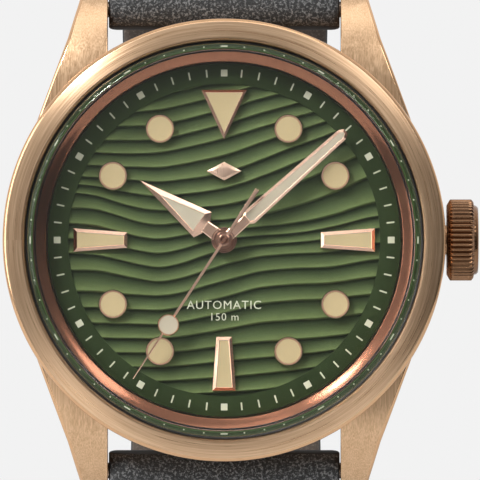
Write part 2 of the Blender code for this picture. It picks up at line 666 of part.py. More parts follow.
def add_train():
    """The third, fourth and escape wheels, and the pallet fork that lets them go tooth by tooth."""
    corners = arc((0, 0), THIRD_WINDOW_CIRCLE_R, 0.0, 1.5 * math.pi, 3)
    windows = [circle(THIRD_WINDOW_R, 8, point) for point in corners]
    teeth = gear(TRAIN_TEETH, THIRD_R, TOOTH_DEPTH, 0.0)
    outline("third_wheel", [teeth] + windows, WHEELS, GILT, shift(*THIRD_AT))
    teeth = gear(TRAIN_TEETH, FOURTH_R, TOOTH_DEPTH, 0.0)
    hole = circle(SECONDS_ARBOR_R + OUTER_FIT, SMALL_ROUND)
    outline("fourth_wheel", [teeth, hole], FOURTH_WHEEL, GILT, shift(turn=-SECONDS_ANGLE))
    teeth = gear(ESCAPE_TEETH, (1 - ESCAPE_TOOTH) * ESCAPE_R, ESCAPE_TOOTH * ESCAPE_R, 0.0)
    outline("escape_wheel", [teeth, circle(ESCAPE_HOLE_R, 8)], WHEELS, STEEL, shift(*ESCAPE_AT))
    half = [(2, -17), (2.5, -2), (9, 2), (9, 5)]  # the fork's right-hand side, in plan units
    fork = [(x * UNIT, y * UNIT) for x, y in half]
    notch = [(0.0, 3 * UNIT)]
    fork += notch + [(-x, y) for x, y in reversed(fork)]
    toward = math.atan2(BALANCE_AT[1] - FORK_AT[1], BALANCE_AT[0] - FORK_AT[0]) + math.pi / 2
    outline("pallet_fork", [fork], WHEELS, STEEL, shift(*FORK_AT, turn=toward))


def add_balance():
    """The balance: a rim on one straight arm, its staff, and the spiral spring above it."""
    windows = []
    for start in (0.15, math.pi + 0.15):
        middle = start + 1.4
        corner = (3.5 * UNIT * math.cos(middle), 3.5 * UNIT * math.sin(middle))
        windows.append(arc((0, 0), BALANCE_WINDOW_R, start, start + 2.8, TINY_ROUND) + [corner])
    loops = [circle(BALANCE_R, MID_ROUND)] + windows
    balance = outline("balance_wheel", loops, BALANCE, GILT, shift(*BALANCE_AT))
    staff = pipe("balance_staff", (0.0, STAFF_R), STAFF, None, place=shift(*BALANCE_AT))
    combine(balance, staff, "UNION")
    inner_r, outer_r = HAIRSPRING_R
    steps = 18 * HAIRSPRING_TURNS
    inside, outside = [], []
    for k in range(steps + 1):
        angle = 2 * math.pi * HAIRSPRING_TURNS * k / steps
        radius = inner_r + (outer_r - inner_r) * k / steps
        for side, points in ((-HAIRSPRING_HALF, inside), (HAIRSPRING_HALF, outside)):
            points.append(((radius + side) * math.cos(angle), (radius + side) * math.sin(angle)))
    outline("hairspring", [inside + outside[::-1]], HAIRSPRING, STEEL, shift(*BALANCE_AT))


def add_rotor():
    """The winding weight: half a disc with a heavy rim, free on the bearing in the middle."""
    rotor = outline("rotor", [sector(ROTOR_R, 180, 360, MID_ROUND)], ROTOR, GILT)
    overlap = ROTOR[0] + LAID_FIT
    rim = sector(ROTOR_R, 180, 360, MID_ROUND, sector(ROTOR_RIM_R, 360, 180, MID_ROUND))
    combine(rotor, outline("rotor_rim", [rim], (overlap, ROTOR_RIM_TOP), None), "UNION")
    hub = pipe("rotor_hub", (0.0, ROTOR_HUB_R), (overlap, ROTOR[1] + LOOSE_FIT), None, MID_ROUND)
    combine(rotor, hub, "UNION")
    bore = (0.0, BEARING_R + LOOSE_FIT)
    combine(rotor, pipe("rotor_bore", bore, (ROTOR[0] - THROUGH, ROTOR[1] + THROUGH), None))


def add_crown():
    """The crown on its stem, the clutch that it turns, the case tube and the setting lever."""
    line = shift(0, 0, STEM_W) @ ALONG_U
    pipe("crown_tube", (TUBE_BORE_R, TUBE_R), TUBE, STEEL, place=line)
    foot, shoulder, top = CROWN
    profile = [
        (0.0, top),
        (CROWN_CAP_R, top),
        (CROWN_R, shoulder),
        (CROWN_R, foot),
        (CROWN_POCKET_R, foot),
        (CROWN_POCKET_R, foot + CROWN_POCKET),
        (0.0, foot + CROWN_POCKET),
    ]
    turned("crown", profile, BRONZE, MID_ROUND, ring=False, place=line)
    stem = (STEM_END, foot + CROWN_POCKET - LAID_FIT)
    pipe("stem", (0.0, STEM_R), stem, STEEL, TINY_ROUND, place=line)
    pipe("clutch_wheel", (STEM_R + LOOSE_FIT, CLUTCH_R), CLUTCH, STEEL, place=line)
    heel, nose = LEVER_REACH
    lever = [
        (-LEVER_HALF, -heel), (LEVER_HALF, -heel), (1.2 * LEVER_HALF, nose / 6),
        (0.4 * LEVER_HALF, nose), (-0.6 * LEVER_HALF, nose),
    ]
    levels = (BRIDGE[1] + LOOSE_FIT, STEM_W - STEM_R - LOOSE_FIT)
    outline("setting_lever", [lever], levels, STEEL, shift(*LEVER_AT))


def strap_path(long_half, s):
    """(v, w, angle below the dial's plane) of the middle of the strap, a length s from its bar."""
    bend_r = LONG_BEND_R if long_half else SHORT_BEND_R
    bend = LONG_BEND_LENGTH if long_half else SHORT_BEND_LENGTH
    angle = STRAP_DROP + min(max(s, 0.0), bend) / bend_r
    v = BAR_V + bend_r * (math.sin(angle) - math.sin(STRAP_DROP))
    w = BAR_W + bend_r * (math.cos(angle) - math.cos(STRAP_DROP))
    straight = s - bend if s > bend else min(s, 0.0)
    return v + straight * math.cos(angle), w - straight * math.sin(angle), angle


def strap_section(long_half, s, length):
    """(half width, half thickness) a length s along one half of the strap."""
    share = min(max(s / length, 0.0), 1.0)
    width = STRAP_WIDTH - STRAP_TAPER * share
    body = STRAP_THICKNESS - STRAP_THINNING[long_half] * share
    swell = max(0.0, 1 - s / STRAP_SWELL) ** 2
    return width / 2, (body + (2 * STRAP_END_R - STRAP_THICKNESS) * swell) / 2


def strap_place(long_half, s):
    """The frame at s along the strap: X across it, Y along it, Z out of the loop that it makes."""
    v, w, angle = strap_path(long_half, s)
    turn = Matrix.Rotation(-angle, 4, "X")
    side = Matrix.Rotation(math.pi, 4, "Z") if long_half else Matrix.Identity(4)
    return side @ shift(0, v, w) @ turn


def strap_stations(long_half, cuts, k):
    """(s, share of the width, share of the thickness) for each section of one stretch."""
    length = cuts[-1]
    ends_here = k == len(cuts) - 2
    first = cuts[k] + (STRAP_BREAK / 2 if k else 0.0)
    last = cuts[k + 1] - (0.0 if ends_here else STRAP_BREAK / 2)
    tail = (STRAP_WIDTH - STRAP_TAPER) / 2 if ends_here and long_half else 0.0
    stations = [(first + (last - tail - first) * n / 8, 1.0, 1.0) for n in range(9)]
    if k == 0:
        round_end = [(-STRAP_END_R * math.sin(a), 1.0, math.cos(a)) for a in ROUNDING[::-1]]
        stations = round_end + stations
    if tail:
        stations += [(last - tail + tail * math.sin(a), math.cos(a), 1.0) for a in ROUNDING]
    elif ends_here:
        end_r = strap_section(long_half, length, length)[1]
        stations += [(last + end_r * math.sin(a), 1.0, math.cos(a)) for a in ROUNDING]
    return stations


def strap_segment(name, long_half, cuts, k):
    """One stretch of a strap, lofted from section to section, with its origin on its hinge."""
    length = cuts[-1]
    shape = bmesh.new()
    rows = []
    for s, wide, thick in strap_stations(long_half, cuts, k):
        half_width, half_thick = strap_section(long_half, s, length)
        place = strap_place(long_half, s)
        u, w = half_width * wide, half_thick * thick
        corners = ((-u, 0, -w), (u, 0, -w), (u, 0, w), (-u, 0, w))
        rows.append([shape.verts.new(place @ Vector(corner)) for corner in corners])
    for row, following in zip(rows, rows[1:]):
        for i in range(4):
            j = (i + 1) % 4
            shape.faces.new((row[i], row[j], following[j], following[i]))
    shape.faces.new(rows[0])
    shape.faces.new(rows[-1][::-1])
    bmesh.ops.recalc_face_normals(shape, faces=shape.faces)
    data = bpy.data.meshes.new(name)
    shape.to_mesh(data)
    shape.free()
    pivot = strap_place(long_half, cuts[k])
    if k:
        pivot = pivot @ shift(w=strap_section(long_half, cuts[k], length)[1])
    data.transform(pivot.inverted())
    smooth(data)
    return add_part(name, data, CLOTH, pivot)


def add_straps():
    half_bar = LUG_GAP / 2 + BAR_SEAT
    reach = STRAP_WIDTH / 2 + THROUGH
    for label, long_half, cuts in (("12", False, SHORT_CUTS), ("6", True, LONG_CUTS)):
        parts = [
            strap_segment(f"strap_{label}_{'abcd'[k]}", long_half, cuts, k)
            for k in range(len(cuts) - 1)
        ]
        across = strap_place(long_half, 0.0) @ ALONG_U
        pipe(f"spring_bar_{label}", (0.0, BAR_R), (-half_bar, half_bar), STEEL, TINY_ROUND, across)
        bore = (0.0, BAR_R + 2 * LOOSE_FIT)
        combine(parts[0], pipe(f"strap_tunnel_{label}", bore, (-reach, reach), None, TINY_ROUND, across))
        if long_half:
            punch_holes(parts, cuts)
        else:
            fit_buckle(parts[-1], cuts[-1])


def punch_holes(parts, cuts):
    """A row of tang holes down the middle, each one clear of the breaks between the stretches."""
    for n in range(STRAP_HOLES):
        s = STRAP_HOLE_FIRST + n * STRAP_HOLE_PITCH
        k = max(i for i in range(len(cuts) - 1) if cuts[i] <= s)
        margin = STRAP_HOLE_R + STRAP_BREAK
        s = min(max(s, cuts[k] + margin), cuts[k + 1] - margin)
        levels = (-STRAP_THICKNESS, STRAP_THICKNESS)
        hole = pipe(f"tang_hole_{n}", (0.0, STRAP_HOLE_R), levels, None, 10, strap_place(True, s))
        combine(parts[k], hole)


def rounded_box(half_u, low_y, high_y, radius, steps=4):
    corners = ((half_u, high_y, 0), (-half_u, high_y, 90), (-half_u, low_y, 180), (half_u, low_y, 270))
    points = []
    for x, y, start in corners:
        centre = (x - math.copysign(radius, x), y - (radius if start < 180 else -radius))
        points += arc(centre, radius, math.radians(start), math.radians(start + 90), steps)
    return points


def fit_buckle(end_segment, length):
    """The pin buckle on the short half, its tang, and the two keepers above it."""
    place = strap_place(False, length)
    across = place @ ALONG_U
    half_width, half_thick = strap_section(False, length, length)
    window = half_width + 2 * LOOSE_FIT
    outer = window + BUCKLE_WIRE
    bar_reach = outer - BUCKLE_BAR_END
    bore = (0.0, BUCKLE_BAR_R + LOOSE_FIT)
    combine(end_segment, pipe("buckle_tunnel", bore, (-outer, outer), None, TINY_ROUND, across))
    low = (-TANG_SLOT_HALF, -TANG_SLOT_DEPTH, -THROUGH)
    high = (TANG_SLOT_HALF, 2 * THROUGH, THROUGH)
    combine(end_segment, block("tang_slot", low, high, place))
    pipe("buckle_bar", (0.0, BUCKLE_BAR_R), (-bar_reach, bar_reach), STEEL, TINY_ROUND, across)
    inner_corner, outer_corner = BUCKLE_CORNER_R
    loop = rounded_box(outer, -half_thick, BUCKLE_REACH, outer_corner)
    levels = (-BUCKLE_HALF_THICK, BUCKLE_HALF_THICK)
    frame = outline("buckle_frame", [loop], levels, BRONZE, place)
    gate = [(-window, -half_thick - THROUGH), (window, -half_thick - THROUGH)]
    gate += [
        point
        for point in rounded_box(window, -half_thick, BUCKLE_REACH - BUCKLE_WIRE, inner_corner)
        if point[1] > 0
    ]
    combine(frame, outline("buckle_window", [gate], (-THROUGH, THROUGH), None, place))
    seat = bar_reach + LOOSE_FIT
    combine(frame, pipe("buckle_bar_seat", bore, (-seat, seat), None, TINY_ROUND, across))
    add_tang(place)
    for name, s in (("fixed_keeper", FIXED_KEEPER_S), ("sliding_keeper", SLIDING_KEEPER_S)):
        add_keeper(name, s, length)


def add_tang(place):
    """The tang: an eye round the buckle's bar and a tongue that rests on the front of its frame."""
    top = BUCKLE_HALF_THICK + LOOSE_FIT
    rest = BUCKLE_REACH - BUCKLE_WIRE - 0.3 * MM
    tip = BUCKLE_REACH - 0.6 * MM
    side = arc((0, 0), TANG_EYE_R, math.radians(35), math.radians(325), 10)
    side += [(1.76 * TANG_EYE_R, -0.36 * TANG_EYE_R), (rest, top), (tip, top)]
    side += [(tip, top + TANG_THICKNESS), (1.92 * TANG_EYE_R, 0.6 * TANG_EYE_R)]
    bore = circle(BUCKLE_BAR_R + LOOSE_FIT, TINY_ROUND)
    side_to_place = Matrix(((0, 0, 1, 0), (1, 0, 0, 0), (0, 1, 0, 0), (0, 0, 0, 1)))
    levels = (-TANG_HALF_WIDTH, TANG_HALF_WIDTH)
    outline("buckle_tang", [side, bore], levels, BRONZE, place @ side_to_place)


def add_keeper(name, s, length):
    """A flat loop round the strap, with room above it for the long half's tail."""
    half_width, half_thick = strap_section(False, s, length)
    low = -half_thick - KEEPER_AIR
    high = half_thick + KEEPER_ROOM
    u = half_width + KEEPER_AIR
    loop = [(u, low), (u, high), (-u, high), (-u, low)]
    u, low, high = u + KEEPER_WALL, low - KEEPER_WALL, high + KEEPER_WALL
    shell = [(u, low), (u, high), (-u, high), (-u, low)]
    upright = Matrix.Rotation(math.pi / 2, 4, "X")
    levels = (-KEEPER_LENGTH / 2, KEEPER_LENGTH / 2)
    outline(name, [shell, loop], levels, CLOTH, strap_place(False, s) @ upright)


clear_scene()
WATCH = add_collection("dive_watch")
CUTTERS = add_collection("cutters")
CUTTERS.hide_render = True
AXES = add_empty("watch_axes", Matrix.Rotation(math.pi / 2, 4, "X"))
add_case()
add_closures()
add_dial()
add_hands()
add_plates()
add_winding_wheels()
add_train()
add_balance()
add_rotor()
add_crown()
add_straps()
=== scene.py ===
# %% [markdown]
# # A bronze dive watch
# The working frame comes first: it holds every axle, hinge and hole at its real size.
# This file then models what the eye sees around that frame, piece by piece, and gives each
# piece the body that it moves with, save the middle pieces of the strap, which get none. All
# lengths are metres.

# %% Load the frame
import json
import math

import bmesh
import bpy
from mathutils import Matrix, Vector

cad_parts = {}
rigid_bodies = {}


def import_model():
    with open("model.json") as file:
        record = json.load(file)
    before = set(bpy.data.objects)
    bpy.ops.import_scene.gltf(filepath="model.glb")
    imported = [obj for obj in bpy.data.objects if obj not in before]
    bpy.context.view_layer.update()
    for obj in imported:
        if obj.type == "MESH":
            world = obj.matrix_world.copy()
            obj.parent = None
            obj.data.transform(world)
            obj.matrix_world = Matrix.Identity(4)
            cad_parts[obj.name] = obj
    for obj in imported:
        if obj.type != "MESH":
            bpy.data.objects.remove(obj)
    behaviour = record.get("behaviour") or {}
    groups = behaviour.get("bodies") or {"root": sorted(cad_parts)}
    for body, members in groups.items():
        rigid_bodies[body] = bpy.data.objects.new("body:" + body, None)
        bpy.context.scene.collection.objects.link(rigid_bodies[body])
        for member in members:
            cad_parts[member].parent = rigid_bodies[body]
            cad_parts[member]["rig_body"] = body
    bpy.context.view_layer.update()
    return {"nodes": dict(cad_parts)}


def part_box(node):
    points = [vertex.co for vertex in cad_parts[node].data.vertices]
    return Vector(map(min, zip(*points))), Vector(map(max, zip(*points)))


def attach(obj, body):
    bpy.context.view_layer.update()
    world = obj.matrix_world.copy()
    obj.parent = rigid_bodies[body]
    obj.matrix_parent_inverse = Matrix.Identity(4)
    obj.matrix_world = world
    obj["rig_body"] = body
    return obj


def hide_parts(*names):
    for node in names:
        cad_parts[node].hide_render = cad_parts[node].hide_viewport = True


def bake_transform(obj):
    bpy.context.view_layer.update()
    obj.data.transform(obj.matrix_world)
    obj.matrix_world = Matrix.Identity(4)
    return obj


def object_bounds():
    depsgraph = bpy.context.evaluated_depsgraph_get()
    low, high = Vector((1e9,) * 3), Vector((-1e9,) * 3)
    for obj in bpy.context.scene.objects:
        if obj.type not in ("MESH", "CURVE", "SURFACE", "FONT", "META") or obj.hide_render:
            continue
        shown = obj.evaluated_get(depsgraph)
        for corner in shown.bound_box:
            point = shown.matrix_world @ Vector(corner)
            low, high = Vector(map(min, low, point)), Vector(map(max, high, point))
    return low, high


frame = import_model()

# %% [markdown]
# A watchmaker thinks of a watch lying on the bench, dial up. Shapes below are drawn that way:
# x runs to three o'clock, y to twelve o'clock and z out of the dial. One quarter turn about x
# then stands each finished mesh up where the frame has it.

# %% Units and the quarter turn
MM = 0.001
STAND = Matrix.Rotation(math.pi / 2, 4, "X")
SMALL_EDGE = 0.04 * MM
WELD = 0.0005 * MM


def bench(node):
    """A frame node's lowest and highest corners, in the bench's directions."""
    low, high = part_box(node)
    return Vector((low.x, low.z, -high.y)), Vector((high.x, high.z, -low.y))


dial_top = bench("dial")[1].z
print("dial face stands", round(dial_top / MM, 2), "mm above the case back")

# %% [markdown]
# Every shape starts as a bmesh, which is Blender's editable mesh without an object. These few
# helpers hold the steps that come again and again: a turned ring, a cut plate, softened edges,
# and the last step, which stands the mesh up, colours it and hands it to its body.

# %% Turned shapes
def mm(*points):
    """Points given in millimetres, as metres."""
    return [tuple(value * MM for value in point) for point in points]


def lathe(profile, steps=128, closed=True):
    """Turns (radius, height) points about the z axis with bmesh's spin."""
    bm = bmesh.new()
    verts = [bm.verts.new((r, 0, z)) for r, z in profile]
    edges = [bm.edges.new(pair) for pair in zip(verts, verts[1:])]
    if closed:
        edges.append(bm.edges.new((verts[-1], verts[0])))
    bmesh.ops.spin(
        bm, geom=verts + edges, cent=(0, 0, 0), axis=(0, 0, 1), angle=2 * math.pi,
        steps=steps, use_merge=True, use_duplicate=False,
    )
    bmesh.ops.remove_doubles(bm, verts=bm.verts, dist=WELD)
    bmesh.ops.recalc_face_normals(bm, faces=bm.faces)
    return bm


def rounded(profile, radius, steps=3):
    """A closed profile with each corner turned into a small arc."""
    points = []
    for k, corner in enumerate(profile):
        here = Vector(corner)
        before = Vector(profile[k - 1]) - here
        after = Vector(profile[(k + 1) % len(profile)]) - here
        reach = min(radius, before.length * 0.4, after.length * 0.4)
        start = here + before.normalized() * reach
        end = here + after.normalized() * reach
        for n in range(steps + 1):
            t = n / steps
            points.append(tuple((1 - t) ** 2 * start + 2 * t * (1 - t) * here + t * t * end))
    return points


# %% Cut plates
def plate(outline, low, high):
    """A flat outline given a thickness by one extrusion."""
    bm = bmesh.new()
    face = bm.faces.new([bm.verts.new((x, y, low)) for x, y in outline])
    made = bmesh.ops.extrude_face_region(bm, geom=[face])
    lifted = [item for item in made["geom"] if isinstance(item, bmesh.types.BMVert)]
    bmesh.ops.translate(bm, verts=lifted, vec=(0, 0, high - low))
    bmesh.ops.recalc_face_normals(bm, faces=bm.faces)
    return bm


def arc(centre, radius, start, end, steps):
    """Points on an arc, anticlockwise from the start angle to the end angle in degrees."""
    angles = [math.radians(start + (end - start) * k / steps) for k in range(steps + 1)]
    return [(centre[0] + radius * math.cos(a), centre[1] + radius * math.sin(a)) for a in angles]


def both_sides(half):
    """A whole outline from its right-hand half, drawn from the foot to the tip."""
    return half + [(-x, y) for x, y in reversed(half) if x > WELD]


# %% Softened edges
def sharp_edges(bm, least=25.0, keep=lambda edge: True):
    limit = math.radians(least)
    return [
        e for e in bm.edges
        if len(e.link_faces) == 2 and e.calc_face_angle(0) > limit and keep(e)
    ]


def soften(bm, width, segments=2, least=25.0, keep=lambda edge: True):
    bmesh.ops.bevel(
        bm, geom=sharp_edges(bm, least, keep), offset=width, offset_type="OFFSET",
        segments=segments, profile=0.5, affect="EDGES", clamp_overlap=True, material=-1,
    )
    return bm


def top_faces(bm):
    highest = max(v.co.z for v in bm.verts)
    return [f for f in bm.faces if f.normal.z > 0.99 and f.calc_center_median().z > highest - WELD]


# %% Objects from data
HERE = Matrix.Identity(4)


def as_mesh(bm, name):
    """Writes a bmesh into a new mesh and lets the bmesh go."""
    data = bpy.data.meshes.new(name)
    bm.to_mesh(data)
    bm.free()
    return data


def add_object(name, data):
    made = bpy.data.objects.new(name, data)
    bpy.context.scene.collection.objects.link(made)
    return made


# %% Finished pieces
def keep_piece(bm, name, looks, body, stands_for=(), place=HERE, stand=True, smooth=32.0):
    """Stands a bench shape up, makes it an object with its finish, and gives it to its body.
    A body that is not one name is not attached: the piece is baked in place instead.
    """
    bmesh.ops.transform(bm, matrix=(STAND if stand else HERE) @ place, verts=bm.verts)
    if place.determinant() < 0:
        bmesh.ops.recalc_face_normals(bm, faces=bm.faces)
    data = as_mesh(bm, name)
    for look in looks if isinstance(looks, (list, tuple)) else [looks]:
        data.materials.append(look)
    data.shade_smooth()
    data.set_sharp_from_angle(angle=math.radians(smooth))
    piece = add_object(name, data)
    if isinstance(body, str):
        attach(piece, body)
    else:
        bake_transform(piece)
    if stands_for:
        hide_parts(*stands_for)
    return piece


def turn(clock_degrees):
    """The bench turn that carries twelve o'clock to this angle, clockwise."""
    return Matrix.Rotation(-math.radians(clock_degrees), 4, "Z")


def shift(x=0.0, y=0.0, z=0.0):
    return Matrix.Translation((x, y, z))


def joined(*shapes):
    """Several bmeshes as one. A shape with its own place comes as a (shape, matrix) pair."""
    whole = bmesh.new()
    for item in shapes:
        shape, place = item if isinstance(item, tuple) else (item, HERE)
        bmesh.ops.transform(shape, matrix=place, verts=shape.verts)
        carrier = as_mesh(shape, "carrier")
        whole.from_mesh(carrier)
        bpy.data.meshes.remove(carrier)
    return whole


# %% [markdown]
# ## Finishes
# Metal in a watch is never one flat colour. Brushing is thousands of fine parallel scratches,
# so a noise is stretched hard along one direction; round the bezel that direction follows the
# circle, which is why a group first turns flat coordinates into distance from the axis and
# length round it. The same groups serve bronze, steel and gilt.

# %% Small helpers for node trees
def add_node(tree, kind, links=None, **settings):
    """Adds a shader node, sets its properties and input values, and links its inputs."""
    node = tree.nodes.new("ShaderNode" + kind)
    for key, value in settings.items():
        if key.startswith("in_"):
            name = key[3:]
            spot = int(name) if name.isdigit() else name.replace("_", " ")
            node.inputs[spot].default_value = value
        else:
            setattr(node, key, value)
    for spot, socket in (links or {}).items():
        tree.links.new(socket, node.inputs[spot])
    return node


def math_node(tree, operation, *values):
    node = add_node(tree, "Math", operation=operation)
    for k, value in enumerate(values):
        if isinstance(value, (int, float)):
            node.inputs[k].default_value = value
        else:
            tree.links.new(value, node.inputs[k])
    return node.outputs[0]


def noise(tree, place, scale, detail=3.0, roughness=0.5):
    """A noise texture's grey value."""
    return add_node(
        tree, "TexNoise", {"Vector": place}, in_Scale=scale, in_Detail=detail, in_Roughness=roughness
    ).outputs["Fac"]


def two_tone(tree, tone, dark, light):
    """Mixes two colours by a grey value. The dark one may be another node's colour."""
    mix = add_node(tree, "Mix", {"Factor": tone}, data_type="RGBA")
    mix.inputs["B"].default_value = (*light, 1.0)
    if isinstance(dark, bpy.types.NodeSocket):
        tree.links.new(dark, mix.inputs["A"])
    else:
        mix.inputs["A"].default_value = (*dark, 1.0)
    return mix.outputs["Result"]


def add_relief(tree, shader, height, distance):
    """Gives the shader a fine relief. A height of 1 stands this many metres proud."""
    relief = add_node(tree, "Bump", {"Height": height}, in_Strength=1.0, in_Distance=distance)
    tree.links.new(relief.outputs[0], shader.inputs["Normal"])


def new_group(name, inputs, outputs):
    tree = bpy.data.node_groups.new(name, "ShaderNodeTree")
    for label, kind, value in inputs:
        socket = tree.interface.new_socket(name=label, in_out="INPUT", socket_type=kind)
        if value is not None:
            socket.default_value = value
    for label, kind in outputs:
        tree.interface.new_socket(name=label, in_out="OUTPUT", socket_type=kind)
    return tree, tree.nodes.new("NodeGroupInput"), tree.nodes.new("NodeGroupOutput")


def use_group(tree, group, links=None, **values):
    node = tree.nodes.new("ShaderNodeGroup")
    node.node_tree = group
    for key, value in values.items():
        node.inputs[key.replace("_", " ")].default_value = value
    for spot, socket in (links or {}).items():
        tree.links.new(socket, node.inputs[spot])
    return node


# %% [markdown]
# ### Round coordinates
# Polar coordinates about the watch's axis, which in the upright watch is the Y axis: the radius,
# and the length along the circle. A brush line then stays at one radius all the way round.

# %% The round-coordinates group
MIDDLE_R = 0.017
round_group, source, sink = new_group(
    "round_coordinates", [("Vector", "NodeSocketVector", None)], [("Vector", "NodeSocketVector")]
)
split = add_node(round_group, "SeparateXYZ", {0: source.outputs["Vector"]})
flat = add_node(round_group, "CombineXYZ", {0: split.outputs[0], 1: split.outputs[2]})
radius = add_node(round_group, "VectorMath", {0: flat.outputs[0]}, operation="LENGTH")
around = math_node(round_group, "ARCTAN2", split.outputs[2], split.outputs[0])
length = math_node(round_group, "MULTIPLY", around, MIDDLE_R)
polar = add_node(
    round_group, "CombineXYZ", {0: radius.outputs["Value"], 1: length, 2: split.outputs[1]}
)
round_group.links.new(polar.outputs[0], sink.inputs["Vector"])
print("group:", round_group.name)

# %% [markdown]
# ### Brushing
# One noise at a very uneven scale gives the scratches; a broad one lets them fade in and out,
# as a belt or wheel leaves them. The group gives a height for the bump and a tone for colour.

# %% The brushing group
brush_group, source, sink = new_group(
    "brushed_lines",
    [
        ("Vector", "NodeSocketVector", None),
        ("Across per m", "NodeSocketFloat", 14000.0),
        ("Along per m", "NodeSocketFloat", 220.0),
    ],
    [("Height", "NodeSocketFloat"), ("Tone", "NodeSocketFloat")],
)
split = add_node(brush_group, "SeparateXYZ", {0: source.outputs["Vector"]})
stretched = add_node(brush_group, "CombineXYZ", {
    k: math_node(brush_group, "MULTIPLY", split.outputs[k], source.outputs[label])
    for k, label in enumerate(("Across per m", "Along per m", "Across per m"))
})
fine = noise(brush_group, stretched.outputs[0], 1.0, 3.0, 0.65)
broad = noise(brush_group, stretched.outputs[0], 0.17, 2.0)
both = math_node(brush_group, "MULTIPLY", fine, broad)
brush_group.links.new(math_node(brush_group, "MULTIPLY", both, 2.0), sink.inputs["Height"])
crisp = add_node(brush_group, "MapRange", {"Value": fine}, in_From_Min=0.34, in_From_Max=0.66)
streaks = math_node(brush_group, "MULTIPLY", crisp.outputs[0], 0.6)
drifts = math_node(brush_group, "MULTIPLY", broad, 0.4)
brush_group.links.new(math_node(brush_group, "ADD", streaks, drifts), sink.inputs["Tone"])
print("group:", brush_group.name)


# %% Metals
def new_material(name):
    material = bpy.data.materials.new(name)
    material.use_nodes = True
    tree = material.node_tree
    return material, tree, tree.nodes["Principled BSDF"]


# Which object axes run across the scratches, along them and into the surface
BRUSH_AXES = {"upright": (0, 2, 1), "level": (2, 0, 1)}


def metal(name, dark, light, roughness, spread=0.1, brushing=None, bump=0.0, turned_grain=0.0,
          along=220.0, across=14000.0):
    """A metal whose colour and gloss follow its brushing: 'round', 'upright', 'level' or None."""
    material, tree, shader = new_material(name)
    shader.inputs["Metallic"].default_value = 1.0
    place = add_node(tree, "TexCoord").outputs["Object"]
    if brushing == "round":
        place = use_group(tree, round_group, {"Vector": place}).outputs[0]
    elif brushing:
        axes = add_node(tree, "SeparateXYZ", {0: place}).outputs
        swapped = {k: axes[axis] for k, axis in enumerate(BRUSH_AXES[brushing])}
        place = add_node(tree, "CombineXYZ", swapped).outputs[0]
    if brushing:
        lines = use_group(
            tree, brush_group, {"Vector": place}, Along_per_m=along, Across_per_m=across
        )
        tone, height = lines.outputs["Tone"], lines.outputs["Height"]
    else:
        tone = height = noise(tree, place, 900.0, 4.0)
    tree.links.new(two_tone(tree, tone, dark, light), shader.inputs["Base Color"])
    gloss = add_node(
        tree, "MapRange", {"Value": tone},
        in_To_Min=max(roughness - spread, 0.02), in_To_Max=roughness + spread,
    )
    tree.links.new(gloss.outputs[0], shader.inputs["Roughness"])
    if bump:
        add_relief(tree, shader, height, bump)
    if turned_grain:
        tangent = add_node(tree, "Tangent", direction_type="RADIAL", axis="Y")
        tree.links.new(tangent.outputs[0], shader.inputs["Tangent"])
        shader.inputs["Anisotropic"].default_value = turned_grain
        shader.inputs["Anisotropic Rotation"].default_value = 0.25
    return material


bronze_round = metal("bronze_brushed_round", (0.56, 0.33, 0.18), (0.94, 0.67, 0.44), 0.32, 0.08,
                     "round", bump=0.000003, turned_grain=0.8, across=13000.0, along=160.0)
bronze_upright = metal("bronze_brushed_upright", (0.50, 0.29, 0.15), (0.90, 0.63, 0.40), 0.34, 0.08,
                       "upright", bump=0.0000025, across=11000.0, along=160.0)
bronze_polished = metal("bronze_polished", (0.72, 0.43, 0.24), (0.82, 0.52, 0.30), 0.14, 0.04)
# Painted shade: the crown's bronze is a darker copy of the case bronze, for the shade on its flank.
bronze_painted_shade = metal("bronze_crown_painted_shade", (0.24, 0.125, 0.065), (0.36, 0.20, 0.11), 0.24, 0.05)
rose_polished = metal("rose_polished", (0.85, 0.55, 0.40), (0.92, 0.63, 0.47), 0.14, 0.04)
rose_satin = metal("rose_satin", (0.84, 0.55, 0.40), (0.94, 0.68, 0.52), 0.3, 0.06, "upright",
                   bump=0.000001)
rose_dark = metal("rose_dark", (0.36, 0.20, 0.14), (0.48, 0.28, 0.20), 0.2, 0.04)
copper_ring = metal("copper_ring", (0.32, 0.135, 0.08), (0.38, 0.17, 0.10), 0.15, 0.03)
steel_brushed = metal("steel_brushed", (0.50, 0.50, 0.51), (0.68, 0.68, 0.69), 0.3, 0.08, "round",
                      bump=0.000002)
steel_polished = metal("steel_polished", (0.62, 0.62, 0.63), (0.70, 0.70, 0.71), 0.14, 0.04)
steel_striped = metal("steel_striped", (0.46, 0.46, 0.47), (0.74, 0.74, 0.75), 0.28, 0.1, "level",
                      bump=0.000003, across=900.0, along=30.0)
gilt_round = metal("gilt_brushed", (0.66, 0.46, 0.18), (0.88, 0.68, 0.34), 0.28, 0.08, "round",
                   bump=0.000002)
blued_steel = metal("blued_steel", (0.02, 0.05, 0.22), (0.04, 0.10, 0.36), 0.18, 0.05)
print("metals:", len(bpy.data.materials))
